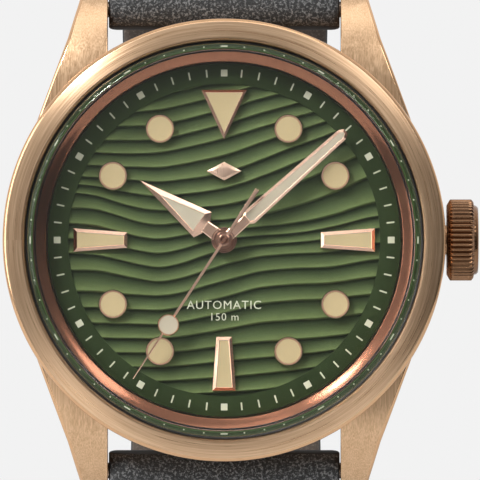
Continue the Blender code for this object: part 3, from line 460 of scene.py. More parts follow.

# %% [markdown]
# ### Lacquer, luminous paint, rubber and glass
# The dial is green lacquer over a stamped metal plate. Its colour follows the stamping's height:
# dark in the hollows, which is painted shade, and pale on the crests, which is painted light.
# Luminous paint is a chalky cream with a fine grain. Sapphire is plain clear glass; the front
# window has a lower index, which stands for the coating that takes reflections off it.

# %% The dial's lacquer
def lacquer(name, deep, bright, grain, relief_low=None, relief_high=None):
    """Coloured lacquer. Over a relief it is darker in the hollows, as painted shade,
    and paler on the crests, as painted light.
    """
    material, tree, shader = new_material(name)
    place = add_node(tree, "TexCoord").outputs["Object"]
    tone = speck = noise(tree, place, 7000.0)
    # Painted shade and light: the colour runs from dark low on the relief to pale high on it.
    if relief_low is not None:
        depth = add_node(tree, "SeparateXYZ", {0: place}).outputs[1]
        raised = add_node(
            tree, "MapRange", {"Value": depth}, in_From_Min=-relief_low, in_From_Max=-relief_high
        )
        tone = math_node(tree, "MULTIPLY", raised.outputs[0], math_node(tree, "ADD", speck, 0.5))
    tree.links.new(two_tone(tree, tone, deep, bright), shader.inputs["Base Color"])
    add_relief(tree, shader, speck, grain)
    shader.inputs["Metallic"].default_value = 0.0
    shader.inputs["Roughness"].default_value = 0.6
    shader.inputs["Specular IOR Level"].default_value = 0.12
    return material


def chalky(name, colour, roughness=0.55, spread=0.06, scale=9000.0, grain=0.000001):
    """A matt coloured surface with a fine grain of its own."""
    material, tree, shader = new_material(name)
    place = add_node(tree, "TexCoord").outputs["Object"]
    speck = noise(tree, place, scale)
    dark = [c * (1 - spread) for c in colour]
    light = [min(1.0, c * (1 + spread)) for c in colour]
    tree.links.new(two_tone(tree, speck, dark, light), shader.inputs["Base Color"])
    add_relief(tree, shader, speck, grain)
    shader.inputs["Roughness"].default_value = roughness
    return material


WAVE_HEIGHT = 0.34 * MM
WAVE_CREST = dial_top - 0.03 * MM
# The waves' colours: dark as painted shade in the hollows, pale as painted light on the crests.
green_relief_painted_shade = lacquer("green_relief_painted_shade", (0.014, 0.026, 0.006), (0.092, 0.128, 0.042), 0.000016,
                       WAVE_CREST - WAVE_HEIGHT, WAVE_CREST)
green_track = lacquer("green_track", (0.012, 0.024, 0.004), (0.021, 0.035, 0.008), 0.000002)
painted_image_green = lacquer("painted_image_green", (0.05, 0.10, 0.03), (0.09, 0.15, 0.05), 0.000001)
lume = chalky("luminous_cream", (0.41, 0.32, 0.165))
hand_lume = chalky("luminous_pale", (0.38, 0.33, 0.24))
print_white = chalky("print_white", (0.50, 0.51, 0.38))
seal_rubber = chalky("seal_rubber", (0.012, 0.012, 0.012), 0.5)

# %% Glass and jewels
def clear(name, colour, index, roughness=0.0):
    material, tree, shader = new_material(name)
    shader.inputs["Base Color"].default_value = (*colour, 1.0)
    shader.inputs["Roughness"].default_value = roughness
    shader.inputs["IOR"].default_value = index
    shader.inputs["Transmission Weight"].default_value = 1.0
    return material


sapphire = clear("sapphire", (1.0, 1.0, 1.0), 1.6)
coated_sapphire = clear("coated_sapphire", (1.0, 1.0, 1.0), 1.33)
ruby = chalky("ruby", (0.45, 0.02, 0.07), 0.12, 0.2, 2000.0, 0.0)

# %% [markdown]
# ## Case
# The case middle is one block of bronze on the real watch: a turned drum that grows four
# horns. Here the drum is turned from a profile and a box takes out the room for each strap
# end. Its top is hidden under the bezel, so the detail goes into the flank and the belly.

# %% The drum
def subtract(bm, cutters):
    """Cuts boxes, given by low and high corners, out of a bmesh with an exact Boolean."""
    body = add_object("cut_body", as_mesh(bm, "cut_body"))
    tools = []
    for low, high in cutters:
        box = bmesh.new()
        bmesh.ops.create_cube(box, size=1.0)
        size = Vector(high) - Vector(low)
        place = Matrix.Translation((Vector(high) + Vector(low)) / 2) @ Matrix.Diagonal((*size, 1))
        bmesh.ops.transform(box, matrix=place, verts=box.verts)
        tool = add_object("cutter", as_mesh(box, "cutter"))
        step = body.modifiers.new("cut", "BOOLEAN")
        step.object = tool
        step.solver = "EXACT"
        tools.append(tool)
    bpy.context.view_layer.update()
    seen = body.evaluated_get(bpy.context.evaluated_depsgraph_get())
    result = bmesh.new()
    result.from_mesh(seen.to_mesh())
    for old in [body, *tools]:
        bpy.data.objects.remove(old)
    return result


bezel_low, bezel_high = bench("bezel")
back_low, back_high = bench("case_back_ring")
case_low, case_high = bench("case_middle")
drum_r = bezel_high.x - 0.1 * MM
drum_bore = 15.65 * MM
drum_top = bezel_low.z - 0.03 * MM
drum_foot = 1.85 * MM
strap_low, strap_high = bench("strap_12_a")
half_gap = strap_high.x + 0.1 * MM
profile = rounded(
    [
        (drum_bore, drum_top),
        (drum_r - 0.25 * MM, drum_top),
        (drum_r, bezel_low.z - 0.3 * MM),
        (drum_r + 0.02 * MM, 5.2 * MM),
        (drum_r - 0.15 * MM, 3.5 * MM),
        (17.9 * MM, 2.3 * MM),
        (17.1 * MM, drum_foot),
        (drum_bore, drum_foot),
    ],
    0.3 * MM,
)
drum = lathe(profile, 160)
wall = strap_low.y - 0.33 * MM
cut_top = 4.95 * MM
drum = subtract(drum, [
    ((-half_gap, wall, -MM), (half_gap, 0.03, cut_top)),
    ((-half_gap, -0.03, -MM), (half_gap, -wall, cut_top)),
])
keep_piece(drum, "case_drum", bronze_upright, "case", ["case_middle"])

# %% [markdown]
# ## Horns
# A horn is where two outlines meet: its plan, which narrows to the tip, and its side view,
# which droops to hug the wrist. The plan is extruded, then planes slice it along the side
# view. The long top edge gets a wide polished bevel, the sign of a carefully made case, and
# all the other edges a hair of rounding.

# %% One horn
horn_tip = case_high.y
horn_plan = [
    (half_gap, 13.2 * MM),
    (14.7 * MM, 8.9 * MM),
    (16.2 * MM, 9.9 * MM),
    (15.72 * MM, 11.2 * MM),
    (13.45 * MM, horn_tip - 4.5 * MM),
    (12.5 * MM, horn_tip - 1.3 * MM),
    (12.15 * MM, horn_tip),
    (half_gap, horn_tip),
]
horn_top = [(8.0, 6.98), (14.0, 6.92), (16.2, 6.55), (17.9, 5.85), (19.5, 4.85), (20.7, 3.75),
            (21.5, 2.6), (21.85, 1.6)]
horn_foot = [(21.85, 0.95), (21.4, 0.55), (20.4, 0.5), (17.8, 1.35), (14.5, 2.2), (8.0, 2.7)]


def slice_side(bm, start, end):
    """Cuts away what lies to the left of the line from start to end in the side view."""
    along = Vector((0, end[0] - start[0], end[1] - start[1]))
    outward = Vector((0, -along.z, along.y)).normalized()
    made = bmesh.ops.bisect_plane(
        bm, geom=bm.verts[:] + bm.edges[:] + bm.faces[:], plane_co=(0, start[0], start[1]),
        plane_no=outward, clear_outer=True,
    )
    rim = [item for item in made["geom_cut"] if isinstance(item, bmesh.types.BMEdge)]
    bmesh.ops.contextual_create(bm, geom=rim)


def horn():
    bm = plate(horn_plan, 0.2 * MM, 7.5 * MM)
    side = [(y * MM, z * MM) for y, z in horn_top + horn_foot]
    for start, end in zip(side, side[1:] + side[:1]):
        if start[0] != end[0] or start[0] > 0.01:
            slice_side(bm, start, end)
    bmesh.ops.remove_doubles(bm, verts=bm.verts, dist=WELD)
    bmesh.ops.recalc_face_normals(bm, faces=bm.faces)

    def outer_top(edge):
        normals = [f.normal for f in edge.link_faces]
        upper = any(n.z > 0.3 and abs(n.x) < 0.05 for n in normals)
        outer = any(n.x > 0.6 for n in normals)
        return upper and outer

    soften(bm, 0.62 * MM, 1, 20, outer_top)
    soften(bm, 0.05 * MM, 2, 20)
    for face in bm.faces:
        normal = face.normal
        face.material_index = 0 if normal.z > 0.3 and abs(normal.x) < 0.12 else 1
    return bm


for name, across, along in (("a", 1, 1), ("b", -1, 1), ("c", 1, -1), ("d", -1, -1)):
    keep_piece(
        horn(), f"horn_{name}", [bronze_upright, bronze_polished], "case",
        place=Matrix.Diagonal((across, along, 1, 1)), smooth=20,
    )
print("horns reach", round(horn_tip / MM, 2), "mm from the middle")

# %% [markdown]
# ## Bezel
# A plain fixed ring. Its broad top falls away slightly to the outside and is brushed round the
# circle, down to its inner edge; a narrow polished step frames it outside. The profile is
# turned, then the two finishes are told apart by how steep each face is and where it lies.

# %% The bezel ring
bore = 17.12 * MM
bezel_profile = [
    (bore, bezel_high.z - 0.2 * MM),
    (bore + 0.14 * MM, bezel_high.z - 0.03 * MM),
    (bore + 0.24 * MM, bezel_high.z),
    (18.0 * MM, bezel_high.z - 0.09 * MM),
    (18.72 * MM, bezel_high.z - 0.25 * MM),
    (bezel_high.x - 0.03 * MM, bezel_high.z - 0.52 * MM),
    (bezel_high.x, bezel_high.z - 0.8 * MM),
    (bezel_high.x, bezel_low.z + 0.2 * MM),
    (bezel_high.x - 0.12 * MM, bezel_low.z),
    (bore, bezel_low.z),
]
bezel = lathe(rounded(bezel_profile, 0.07 * MM), 240)
BRUSHED_R = 18.74 * MM
for face in bezel.faces:
    brushed = face.normal.z > 0.5 and face.calc_center_median().xy.length < BRUSHED_R
    face.material_index = 0 if brushed else 1
print("bezel faces:", len(bezel.faces))
keep_piece(bezel, "bezel_ring", [bronze_round, bronze_polished], "case", ["bezel"],
           smooth=40)

# %% [markdown]
# ## Crystal
# The front window is a box crystal: a disc with a tall straight wall and a soft dome, made of
# solid sapphire so that light bends in it as it does in the real one. Near the rim that bending
# would show the dial a second time, as a thin green ring; a painted image of it stands inside the
# rim instead, below. The crystal casts no shadow here, because clear sapphire lets nearly all
# the light through to the dial.

# %% The box crystal
crystal_low, crystal_high = bench("crystal")
wall_r = crystal_high.x
skirt = 16.25 * MM
dome = 0.85 * (crystal_high.z - 10.7 * MM)
thickness = 1.6 * MM


def dome_z(r):
    return crystal_high.z - dome * (r / wall_r) ** 2


shoulder = 0.72 * MM
edge_r = wall_r - shoulder
top_side = [(r * MM, dome_z(r * MM)) for r in (0, 2, 4, 6, 8, 10, 12, 14, 15)]
rim = arc((edge_r, dome_z(edge_r) - shoulder), shoulder, 90, 0, 14) + [(wall_r, crystal_low.z)]
under_side = [(skirt, crystal_low.z), (skirt, 9.1 * MM)]
under_side += [(skirt - 0.15 * MM, dome_z(skirt) - thickness + 0.04 * MM)]
under_side += [(r * MM, dome_z(r * MM) - thickness) for r in (15.9, 15, 14, 12, 10, 8, 6, 4, 2, 0)]
crystal = lathe(top_side + rim + under_side, 192, closed=False)
window = keep_piece(crystal, "front_crystal", coated_sapphire, "case", ["crystal"],
                    smooth=50)
window.visible_shadow = False

# %% [markdown]
# Light that enters the rounded rim is bent back to the dial, so the rim of a box crystal shows
# the green track and its marks once more, squeezed into a thin ring. A render would need a
# great many samples to draw that image cleanly, so a thin painted ring inside the rim stands
# in for it.

# %% The dial's image in the rim
def flat_ring(inner, outer, level, thick=0.02 * MM, steps=240):
    top = level + thick
    return lathe([(inner, level), (outer, level), (outer, top), (inner, top)], steps)


def stroke(width, inner, outer, level, thick=0.02 * MM):
    """An upright bar at twelve o'clock, from one radius to another."""
    half = width / 2
    return plate([(-half, inner), (half, inner), (half, outer), (-half, outer)], level, level + thick)


def sixty(fine, fifth):
    """Sixty divisions: a fine stroke each, and another shape at every fifth."""
    return joined(*[(stroke(*(fine if k % 5 else fifth)), turn(6 * k)) for k in range(60)])


image_z = 10.0 * MM
image_top = image_z + 0.02 * MM
image_span = (skirt + 0.16 * MM, skirt + 0.23 * MM, image_top, 0.015 * MM)
# Painted reflection: a green ring, a line and sixty marks copy the dial's track as the rim's image of
# it.
rim_painted_image = flat_ring(skirt + 0.03 * MM, wall_r - 0.06 * MM, image_z)
keep_piece(rim_painted_image, "rim_painted_image", green_track, "case")
rim_painted_image_line = flat_ring(skirt + 0.09 * MM, skirt + 0.12 * MM, image_top)
keep_piece(rim_painted_image_line, "rim_painted_image_line", painted_image_green, "case")
rim_painted_image_marks = sixty((0.12 * MM, *image_span), (0.6 * MM, *image_span))
keep_piece(rim_painted_image_marks, "rim_painted_image_marks", print_white, "case")
print("rim image at", round(image_z / MM, 1), "mm")

# %% The seal round the crystal
seal = lathe(rounded([
    (wall_r + 0.03 * MM, bezel_high.z - 0.65 * MM), (bore - 0.03 * MM, bezel_high.z - 0.65 * MM),
    (bore - 0.03 * MM, crystal_low.z), (wall_r + 0.03 * MM, crystal_low.z),
], 0.05 * MM), 128)
keep_piece(seal, "crystal_seal", seal_rubber, "case", ["crystal_gasket"])

# %% [markdown]
# ## Inner ring
# The polished ring between dial and crystal stands up from the dial, then leans outwards, so
# its broad upper face mirrors whatever the crystal lets in.

# %% The rehaut
ring_low, ring_high = bench("rehaut_ring")
inner_ring = lathe(rounded([
    (16.22 * MM, ring_high.z),
    (ring_high.x, ring_high.z),
    (ring_high.x, ring_low.z),
    (15.2 * MM, ring_low.z),
    (15.24 * MM, ring_high.z - 0.78 * MM),
    (15.3 * MM, ring_high.z - 0.68 * MM),
    (15.72 * MM, ring_high.z - 0.45 * MM),
    (16.12 * MM, ring_high.z - 0.22 * MM),
], 0.05 * MM), 240)
keep_piece(inner_ring, "inner_ring", copper_ring, "case", ["rehaut_ring"], smooth=40)

# %% [markdown]
# ## Dial
# The middle of the dial is stamped with waves like wind-blown sand. A fine grid is raised and
# lowered by a wave whose crests lean and bend across the dial: each crest has a long gentle
# back and a short steep front, which is what makes the crisp shadow lines. The grid's ragged
# rim hides under the flat outer track.

# %% The stamped waves
WAVE_PITCH = 1.22 * MM
WAVE_R = 13.4 * MM
FRONT = 0.13
ROWS_PER_WAVE = [0.0, 0.03, 0.065, 0.1, 0.13, 0.17, 0.25, 0.35, 0.46, 0.58, 0.7, 0.82, 0.92]
BANDS = 14
# Each row is one crest: its height on the dial first, and then how far it drifts from that
# height at each of the columns, all in millimetres.
COLUMNS = [-13.2, -11.0, -9.0, -7.2, -5.5, -3.5, -1.5, 0.5, 3.0, 6.0, 9.0, 13.2]
CRESTS = [
    (-13.0, [-0.2, -0.1, 0.0, 0.0, 0.0, 0.1, 0.2, 0.3, 0.5, 0.9, 1.4, 2.2]),
    (-9.6, [-0.1, 0.0, 0.0, 0.0, 0.0, 0.15, 0.4, 0.7, 0.95, 1.15, 1.4, 1.9]),
    (-7.2, [0.1, 0.1, 0.05, 0.0, 0.0, 0.25, 0.65, 1.1, 1.75, 2.05, 2.2, 2.6]),
    (-4.9, [0.35, 0.3, 0.15, 0.05, 0.0, 0.3, 0.85, 1.4, 2.05, 2.35, 2.45, 3.1]),
    (-3.1, [1.2, 1.15, 0.7, 0.25, 0.0, 0.35, 1.0, 1.65, 2.15, 2.4, 2.6, 3.4]),
    (-1.75, [1.2, 1.0, 0.6, 0.2, 0.0, 0.4, 1.1, 1.5, 1.75, 1.95, 2.4, 3.3]),
    (-0.1, [1.3, 1.1, 0.6, 0.15, 0.0, 0.3, 0.75, 0.9, 1.1, 1.35, 1.9, 3.0]),
    (1.2, [1.4, 1.3, 0.75, 0.2, 0.0, 0.2, 0.35, 0.45, 0.8, 1.5, 2.5, 4.2]),
    (2.25, [1.65, 1.35, 0.7, 0.2, 0.0, 0.1, 0.25, 0.5, 1.1, 2.1, 3.4, 5.2]),
    (3.65, [1.1, 0.9, 0.5, 0.15, 0.0, 0.15, 0.4, 0.8, 1.6, 2.8, 4.1, 5.9]),
    (4.85, [0.6, 0.4, 0.25, 0.1, 0.0, 0.2, 0.45, 0.9, 1.8, 3.0, 4.1, 5.7]),
    (6.1, [0.3, 0.2, 0.1, 0.05, 0.0, 0.3, 0.7, 1.2, 2.1, 3.1, 4.1, 5.5]),
    (7.3, [0.2, 0.1, 0.0, 0.0, 0.1, 0.45, 0.9, 1.45, 2.2, 3.1, 4.0, 5.2]),
    (8.9, [0.0, -0.1, -0.1, -0.1, 0.0, 0.4, 0.9, 1.45, 2.2, 3.0, 3.8, 4.8]),
    (13.0, [-0.2, -0.2, -0.1, 0.0, 0.2, 0.6, 1.1, 1.6, 2.3, 3.1, 3.8, 4.6]),
]


def eased(value, stops):
    """The span of the stops that a value lies in, and how far along it is."""
    k = max(i for i in range(len(stops) - 1) if stops[i] <= value or i == 0)
    return k, min(max((value - stops[k]) / (stops[k + 1] - stops[k]), 0.0), 1.0)


def drift(row, x):
    """A crest's drift at a column, through a smooth curve between the stops."""
    k, t = eased(x, COLUMNS)
    values = CRESTS[row][1]
    before, after = values[max(k - 1, 0)], values[min(k + 2, len(values) - 1)]
    a, b = values[k], values[k + 1]
    slope_a, slope_b = (b - before) / 2, (after - a) / 2
    return (
        (2 * t**3 - 3 * t * t + 1) * a + (t**3 - 2 * t * t + t) * slope_a
        + (3 * t * t - 2 * t**3) * b + (t**3 - t * t) * slope_b
    )


def crest_y(x, phase):
    """Where the line of one phase crosses a column. Both are read in millimetres."""
    level = phase * WAVE_PITCH / MM
    k, t = eased(level, [row[0] for row in CRESTS])
    x = x / MM
    return (level + drift(k, x) * (1 - t) + drift(k + 1, x) * t) * MM


def wave_height(share):
    if share < FRONT:
        step = share / FRONT
        return step * step * (3 - 2 * step)
    return (1 - (share - FRONT) / (1 - FRONT)) ** 1.5


phases = [band + share for band in range(-BANDS, BANDS + 1) for share in ROWS_PER_WAVE]
waves = bmesh.new()
bmesh.ops.create_grid(waves, x_segments=150, y_segments=len(phases) - 1, size=1.0)
trough = WAVE_CREST - WAVE_HEIGHT
for vert in waves.verts:
    phase = phases[round((vert.co.y + 1) / 2 * (len(phases) - 1))]
    x = vert.co.x * (WAVE_R + 0.15 * MM)
    vert.co = (x, crest_y(x, phase), trough + WAVE_HEIGHT * wave_height(phase - math.floor(phase)))
beyond = [f for f in waves.faces if f.calc_center_median().xy.length > WAVE_R + 0.12 * MM]
bmesh.ops.delete(waves, geom=beyond, context="FACES")
print("wave faces:", len(waves.faces))
keep_piece(waves, "dial_waves", green_relief_painted_shade, "case", ["dial"], smooth=180)

# %% The outer track
track = lathe(rounded([
    (WAVE_R - 0.03 * MM, dial_top),
    (15.15 * MM, dial_top),
    (15.15 * MM, dial_top - 0.38 * MM),
    (WAVE_R - 0.03 * MM, dial_top - 0.38 * MM),
], 0.03 * MM), 240)
keep_piece(track, "dial_track", green_track, "case")
back = lathe([(0.0, dial_top - 0.38 * MM), (WAVE_R, dial_top - 0.38 * MM),
              (WAVE_R, dial_top - 0.4 * MM), (0.0, dial_top - 0.4 * MM)], 96, closed=False)
keep_piece(back, "dial_plate", steel_brushed, "case")

# %% [markdown]
# ## Minute track
# Sixty divisions are printed on the flat track: a fine stroke for each minute and a small
# square for every fifth. Print has a real thickness of a few hundredths of a millimetre.

# %% Strokes and squares
minute_marks = sixty(
    (0.13 * MM, 14.0 * MM, 14.66 * MM, dial_top), (0.56 * MM, 14.02 * MM, 14.6 * MM, dial_top)
)
print("minute track faces:", len(minute_marks.faces))
keep_piece(minute_marks, "minute_track", print_white, "case")

# %% [markdown]
# The two short lines of print above six o'clock are plain words about the watch's kind. A
# font's outline is filled, turned into a mesh and given the thickness of print.

# %% Printed words
def words(text, height, y, name):
    """Prints plain words across the dial, centred at this height on it."""
    curve = bpy.data.curves.new(name, "FONT")
    curve.body = text
    curve.size = height
    curve.space_character = 1.12
    curve.align_x = "CENTER"
    curve.align_y = "CENTER"
    curve.extrude = 0.01 * MM
    curve.resolution_u = 3
    carrier = add_object(name, curve)
    bpy.context.view_layer.update()
    seen = carrier.evaluated_get(bpy.context.evaluated_depsgraph_get())
    bm = bmesh.new()
    bm.from_mesh(seen.to_mesh())
    bpy.data.objects.remove(carrier)
    bmesh.ops.remove_doubles(bm, verts=bm.verts, dist=WELD)
    keep_piece(bm, name, print_white, "case", place=shift(0, y, dial_top - 0.02 * MM))


words("AUTOMATIC", 1.02 * MM, -5.6 * MM, "words_upper")
words("150 m", 0.92 * MM, -6.62 * MM, "words_lower")
print("fonts used:", len(bpy.data.fonts))

# %% [markdown]
# ## Applied markers
# Each marker is a little tray of rose metal filled with luminous paint. The top face is inset
# twice: the first inset rises, which slopes the flanks, and the second leaves a thin bright
# frame, inside which the floor sinks a touch and takes the paint. Round ones are turned.

# %% Filled trays
def wedge(half, low, high, flank, rise, rim, window=None):
    """Sloping flanks up to a raised frame and a filled window, whose corners may be given."""
    bm = plate(both_sides(half), low, high - rise)
    roof = top_faces(bm)
    bmesh.ops.inset_region(bm, faces=roof, thickness=flank, depth=rise, use_even_offset=True)
    if window:
        corners = dict(zip(both_sides(half), both_sides(window)))
        for vert in roof[0].verts:
            foot = next(e.other_vert(vert) for e in vert.link_edges if e not in roof[0].edges)
            corner = min(corners, key=lambda point: (foot.co.xy - Vector(point)).length)
            vert.co = (*corners[corner], high)
    bmesh.ops.inset_region(bm, faces=roof, thickness=rim, depth=0.0, use_even_offset=True)
    for vert in {v for f in roof for v in f.verts}:
        vert.co.z -= 0.03 * MM
    for face in roof:
        face.material_index = 1
    return bm


def round_tray(radius, low, high, rim):
    """A turned tray: a thin bright rim round flat paint."""
    floor = high - 0.05 * MM
    paint_r = radius - rim - 0.03 * MM
    bm = lathe([
        (0.0, low), (radius, low), (radius - 0.02 * MM, high - 0.08 * MM), (radius - 0.08 * MM, high),
        (radius - rim, high), (paint_r, floor), (0.0, floor),
    ], 72, closed=False)
    for face in bm.faces:
        middle = face.calc_center_median()
        if middle.z > floor - WELD and middle.xy.length < paint_r:
            face.material_index = 1
    return bm


marker_low = dial_top - 0.27 * MM
marker_top = bench("marker_12")[1].z
filled = [rose_polished, lume]
triangle = wedge(mm((0.0, 8.6), (1.95, 12.85)), marker_low, marker_top, 0.2 * MM, 0.16 * MM,
                 0.05 * MM)
keep_piece(triangle, "index_12", filled, "case", ["marker_12"], smooth=15)
for hour in (3, 6, 9):
    baton = wedge(mm((0.66, 8.3), (1.0, 12.9)), marker_low, marker_top, 0.26 * MM,
                  0.2 * MM, 0.04 * MM)
    keep_piece(baton, f"index_{hour}", filled, "case", [f"marker_{hour}"], turn(30 * hour),
               smooth=15)
for hour in (1, 2, 4, 5, 7, 8, 10, 11):
    dot = round_tray(1.26 * MM, marker_low, marker_top, 0.19 * MM)
    keep_piece(dot, f"index_{hour}", filled, "case", [f"marker_{hour}"],
               turn(30 * hour) @ shift(0, 11.0 * MM))
print("markers stand", round((marker_top - dial_top) / MM, 2), "mm proud of the dial")

# %% [markdown]
# A small plain lozenge sits under the triangle, where a maker would put a sign. This one is
# just a satin facet.

# %% The lozenge
lozenge = plate(mm((-1.5, 0), (0, -0.8), (1.5, 0), (0, 0.8)), marker_low, marker_top)
roof = top_faces(lozenge)
bmesh.ops.inset_region(lozenge, faces=roof, thickness=0.3 * MM, depth=0.12 * MM, use_even_offset=True)
soften(lozenge, 0.03 * MM)
keep_piece(lozenge, "lozenge", rose_satin, "case", ["emblem"], shift(0, 5.9 * MM))

# %% [markdown]
# ## Hands
# The hour and minute hands are blades with sloping flanks round a filled window. Each is a
# flat outline whose top is inset twice: first the flank rises, then the window is cut. A
# slim neck joins the blade to a round hub.

# %% Blades
ANGLES = {"hour": 305.3, "minute": 48.2, "seconds": 213.3}


def neck(wide, narrow, start, end, low, high):
    bm = plate(both_sides([(wide, start), (narrow, end)]), low, high)
    return soften(bm, 0.12 * MM, 2, 25, lambda e: min(v.co.z for v in e.verts) > low + WELD)


def hub(radius, low, high):
    """A round boss with a fine groove just inside its edge."""
    groove = radius - 0.14 * MM
    bm = lathe(rounded([
        (0.3 * MM, high), (groove - 0.06 * MM, high), (groove, high - 0.07 * MM),
        (groove + 0.05 * MM, high), (radius, high - 0.02 * MM), (radius, low), (0.3 * MM, low),
    ], 0.02 * MM), 64)
    for face in bm.faces:
        face.material_index = 2
    return bm


hand_looks = [rose_polished, hand_lume, rose_dark]


def blade_hand(kind, outline, flank, rise, neck_shape, hub_radius, window=None):
    """A hand from its outline. The neck is given as its two half widths and where it ends."""
    high = bench(f"{kind}_hand")[1].z
    low = high - 0.25 * MM
    wide, narrow, end = neck_shape
    whole = joined(
        wedge(outline, low, high, flank, rise, 0.05 * MM, window),
        neck(wide, narrow, 0.4 * MM, end, low, high - 0.02 * MM),
        hub(hub_radius, low, high),
    )
    keep_piece(whole, f"hand_{kind}", hand_looks, kind, [f"{kind}_hand"],
               turn(ANGLES[kind]), smooth=12)


blade_hand("hour", mm((0.5, 1.82), (1.32, 2.25), (0.0, 8.84)), 0.3 * MM, 0.16 * MM,
           (0.62 * MM, 0.55 * MM, 2.1 * MM), 1.1 * MM, mm((0.35, 2.6), (0.93, 2.6), (0.0, 6.8)))
blade_hand("minute", mm((0.4, 2.5), (0.68, 2.9), (0.5, 13.55), (0.24, 13.97)), 0.2 * MM, 0.14 * MM,
           (0.5 * MM, 0.45 * MM, 2.8 * MM), 0.94 * MM)
print("blades at", ANGLES["hour"], "and", ANGLES["minute"], "degrees")

# %% [markdown]
# The seconds hand is a needle with a filled disc two thirds of the way out, and a short tail
# to balance it.

# %% The seconds hand
seconds_high = bench("seconds_hand")[1].z
seconds_low = seconds_high - 0.2 * MM
needle = plate(
    both_sides(mm((0.2, -5.17), (0.13, 0.0), (0.12, 7.9), (0.1, 9.4), (0.05, 14.2))),
    seconds_low, seconds_high,
)
soften(needle, 0.04 * MM, 2, 25)
disc = round_tray(0.96 * MM, seconds_low - 0.02 * MM, seconds_high + 0.07 * MM, 0.14 * MM)
boss = lathe([
    (0.0, seconds_high + 0.14 * MM), (0.16 * MM, seconds_high + 0.13 * MM),
    (0.2 * MM, seconds_high + 0.04 * MM),
    (0.26 * MM, seconds_high - 0.02 * MM), (0.32 * MM, seconds_high + 0.05 * MM),
    (0.42 * MM, seconds_high + 0.05 * MM), (0.5 * MM, seconds_high),
    (0.6 * MM, seconds_high - 0.01 * MM), (0.64 * MM, seconds_high - 0.05 * MM),
    (0.64 * MM, seconds_low), (0.0, seconds_low),
], 56, closed=False)
for face in boss.faces:
    face.material_index = 2
seconds = joined(needle, (disc, shift(0, 8.67 * MM)), boss)
keep_piece(seconds, "hand_seconds", hand_looks, "seconds", ["seconds_hand"],
           turn(ANGLES["seconds"]))
print("hands:", ", ".join(ANGLES))

# %% [markdown]
# ## Crown
# The crown is turned, and its barrel cut with fifty fine flutes for a wet thumb. After the
# spin, each vertex of the barrel is drawn in or left by a rounded comb round the axis. The
# crown's own axis lies along x, so the shape is turned over once it is done.

# %% A fluted barrel
crown_low, crown_high = bench("crown")
crown_axis = (crown_low.z + crown_high.z) / 2
crown_r = crown_high.y
FLUTES = 50


def fluted_crown():
    foot, top = crown_low.x, crown_high.x
    shoulder = top - 0.5 * MM
    profile = [(1.5 * MM, foot), (crown_r - 0.5 * MM, foot), (crown_r - 0.08 * MM, foot + 0.25 * MM)]
    profile += [(crown_r, foot + 0.32 * MM + (shoulder - foot - 0.4 * MM) * k / 5) for k in range(6)]
    profile += [(crown_r - 0.22 * MM, shoulder + 0.1 * MM),
                (crown_r - 0.5 * MM, shoulder + 0.16 * MM),
                (2.95 * MM, top - 0.16 * MM), (2.8 * MM, top), (0.0, top)]
    bore_end = foot + 0.7 * MM
    bm = lathe(profile[::-1] + [(1.5 * MM, bore_end), (0.0, bore_end)], FLUTES * 8, closed=False)
    for vert in bm.verts:
        radius = math.hypot(vert.co.x, vert.co.y)
        if radius < crown_r - 0.3 * MM:
            continue
        comb = math.cos(FLUTES * math.atan2(vert.co.y, vert.co.x))
        depth = 0.2 * MM * (0.5 - 0.5 * comb) ** 1.5
        vert.co.x *= (radius - depth) / radius
        vert.co.y *= (radius - depth) / radius
    return bm


to_crown = shift(0, 0, crown_axis) @ Matrix.Rotation(math.pi / 2, 4, "Y")
keep_piece(fluted_crown(), "crown_fluted", bronze_painted_shade, "crown", ["crown"], to_crown,
           smooth=50)
tube = lathe(rounded(mm((1.28, 18.4), (1.28, 19.4), (0.62, 19.4), (0.62, 18.4)), 0.05 * MM), 48)
keep_piece(tube, "crown_sleeve", bronze_polished, "case", ["crown_tube"], to_crown)

# %% [markdown]
# ## Inner works
# Much of the movement is already right in the frame, so its nodes are copied, their loose
# triangles merged, flat faces cleaned and edges bevelled. That is the quick way to turn a
# plain working part into one with bright edges.

# %% Refining a frame node
def refined(node, width, segments=2, merge=0.0008 * MM):
    """A copy of a frame node's mesh with its flat faces whole and its edges bevelled."""
    bm = bmesh.new()
    bm.from_mesh(frame["nodes"][node].data)
    bmesh.ops.remove_doubles(bm, verts=bm.verts, dist=merge)
    bmesh.ops.dissolve_limit(bm, angle_limit=math.radians(1.5), verts=bm.verts, edges=bm.edges,
                             use_dissolve_boundaries=False)
    if width:
        soften(bm, width, segments)
    return bm


def keep_refined(node, look, width=SMALL_EDGE, segments=2, smooth=35.0):
    body = frame["nodes"][node]["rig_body"]
    return keep_piece(refined(node, width, segments), node + "_made", look, body, [node],
                      stand=False, smooth=smooth)


# Each row names a finish, its colour slot and the frame nodes that have it.
inner_looks = [
    (steel_brushed, "steel", "main_plate movement_ring"),
    (steel_striped, "steel", "train_bridge auto_bridge balance_cock"),
    (steel_polished, "steel", "rotor_bearing"),
    (steel_brushed, "gilt_brass", "crown_wheel ratchet_wheel"),
    (gilt_round, "gilt_brass", "barrel third_wheel fourth_wheel"),
    (steel_polished, "steel", "escape_wheel pallet_fork"),
    (gilt_round, "gilt_brass", "balance_wheel"),
    (blued_steel, "steel", "hairspring"),
    (gilt_round, "gilt_brass", "rotor"),
    (steel_polished, "steel", "clutch_wheel setting_lever stem"),
]
for look, slot, nodes in inner_looks:
    for node in nodes.split():
        thin = node in ("hairspring", "pallet_fork", "escape_wheel")
        keep_refined(node, look, 0.0 if thin else SMALL_EDGE)
    print(slot + ":", nodes)

# %% [markdown]
# Jewels and screws bring a movement to life. A jewel is a ruby ring; a screw has a blued head
# with a slot cut across it.

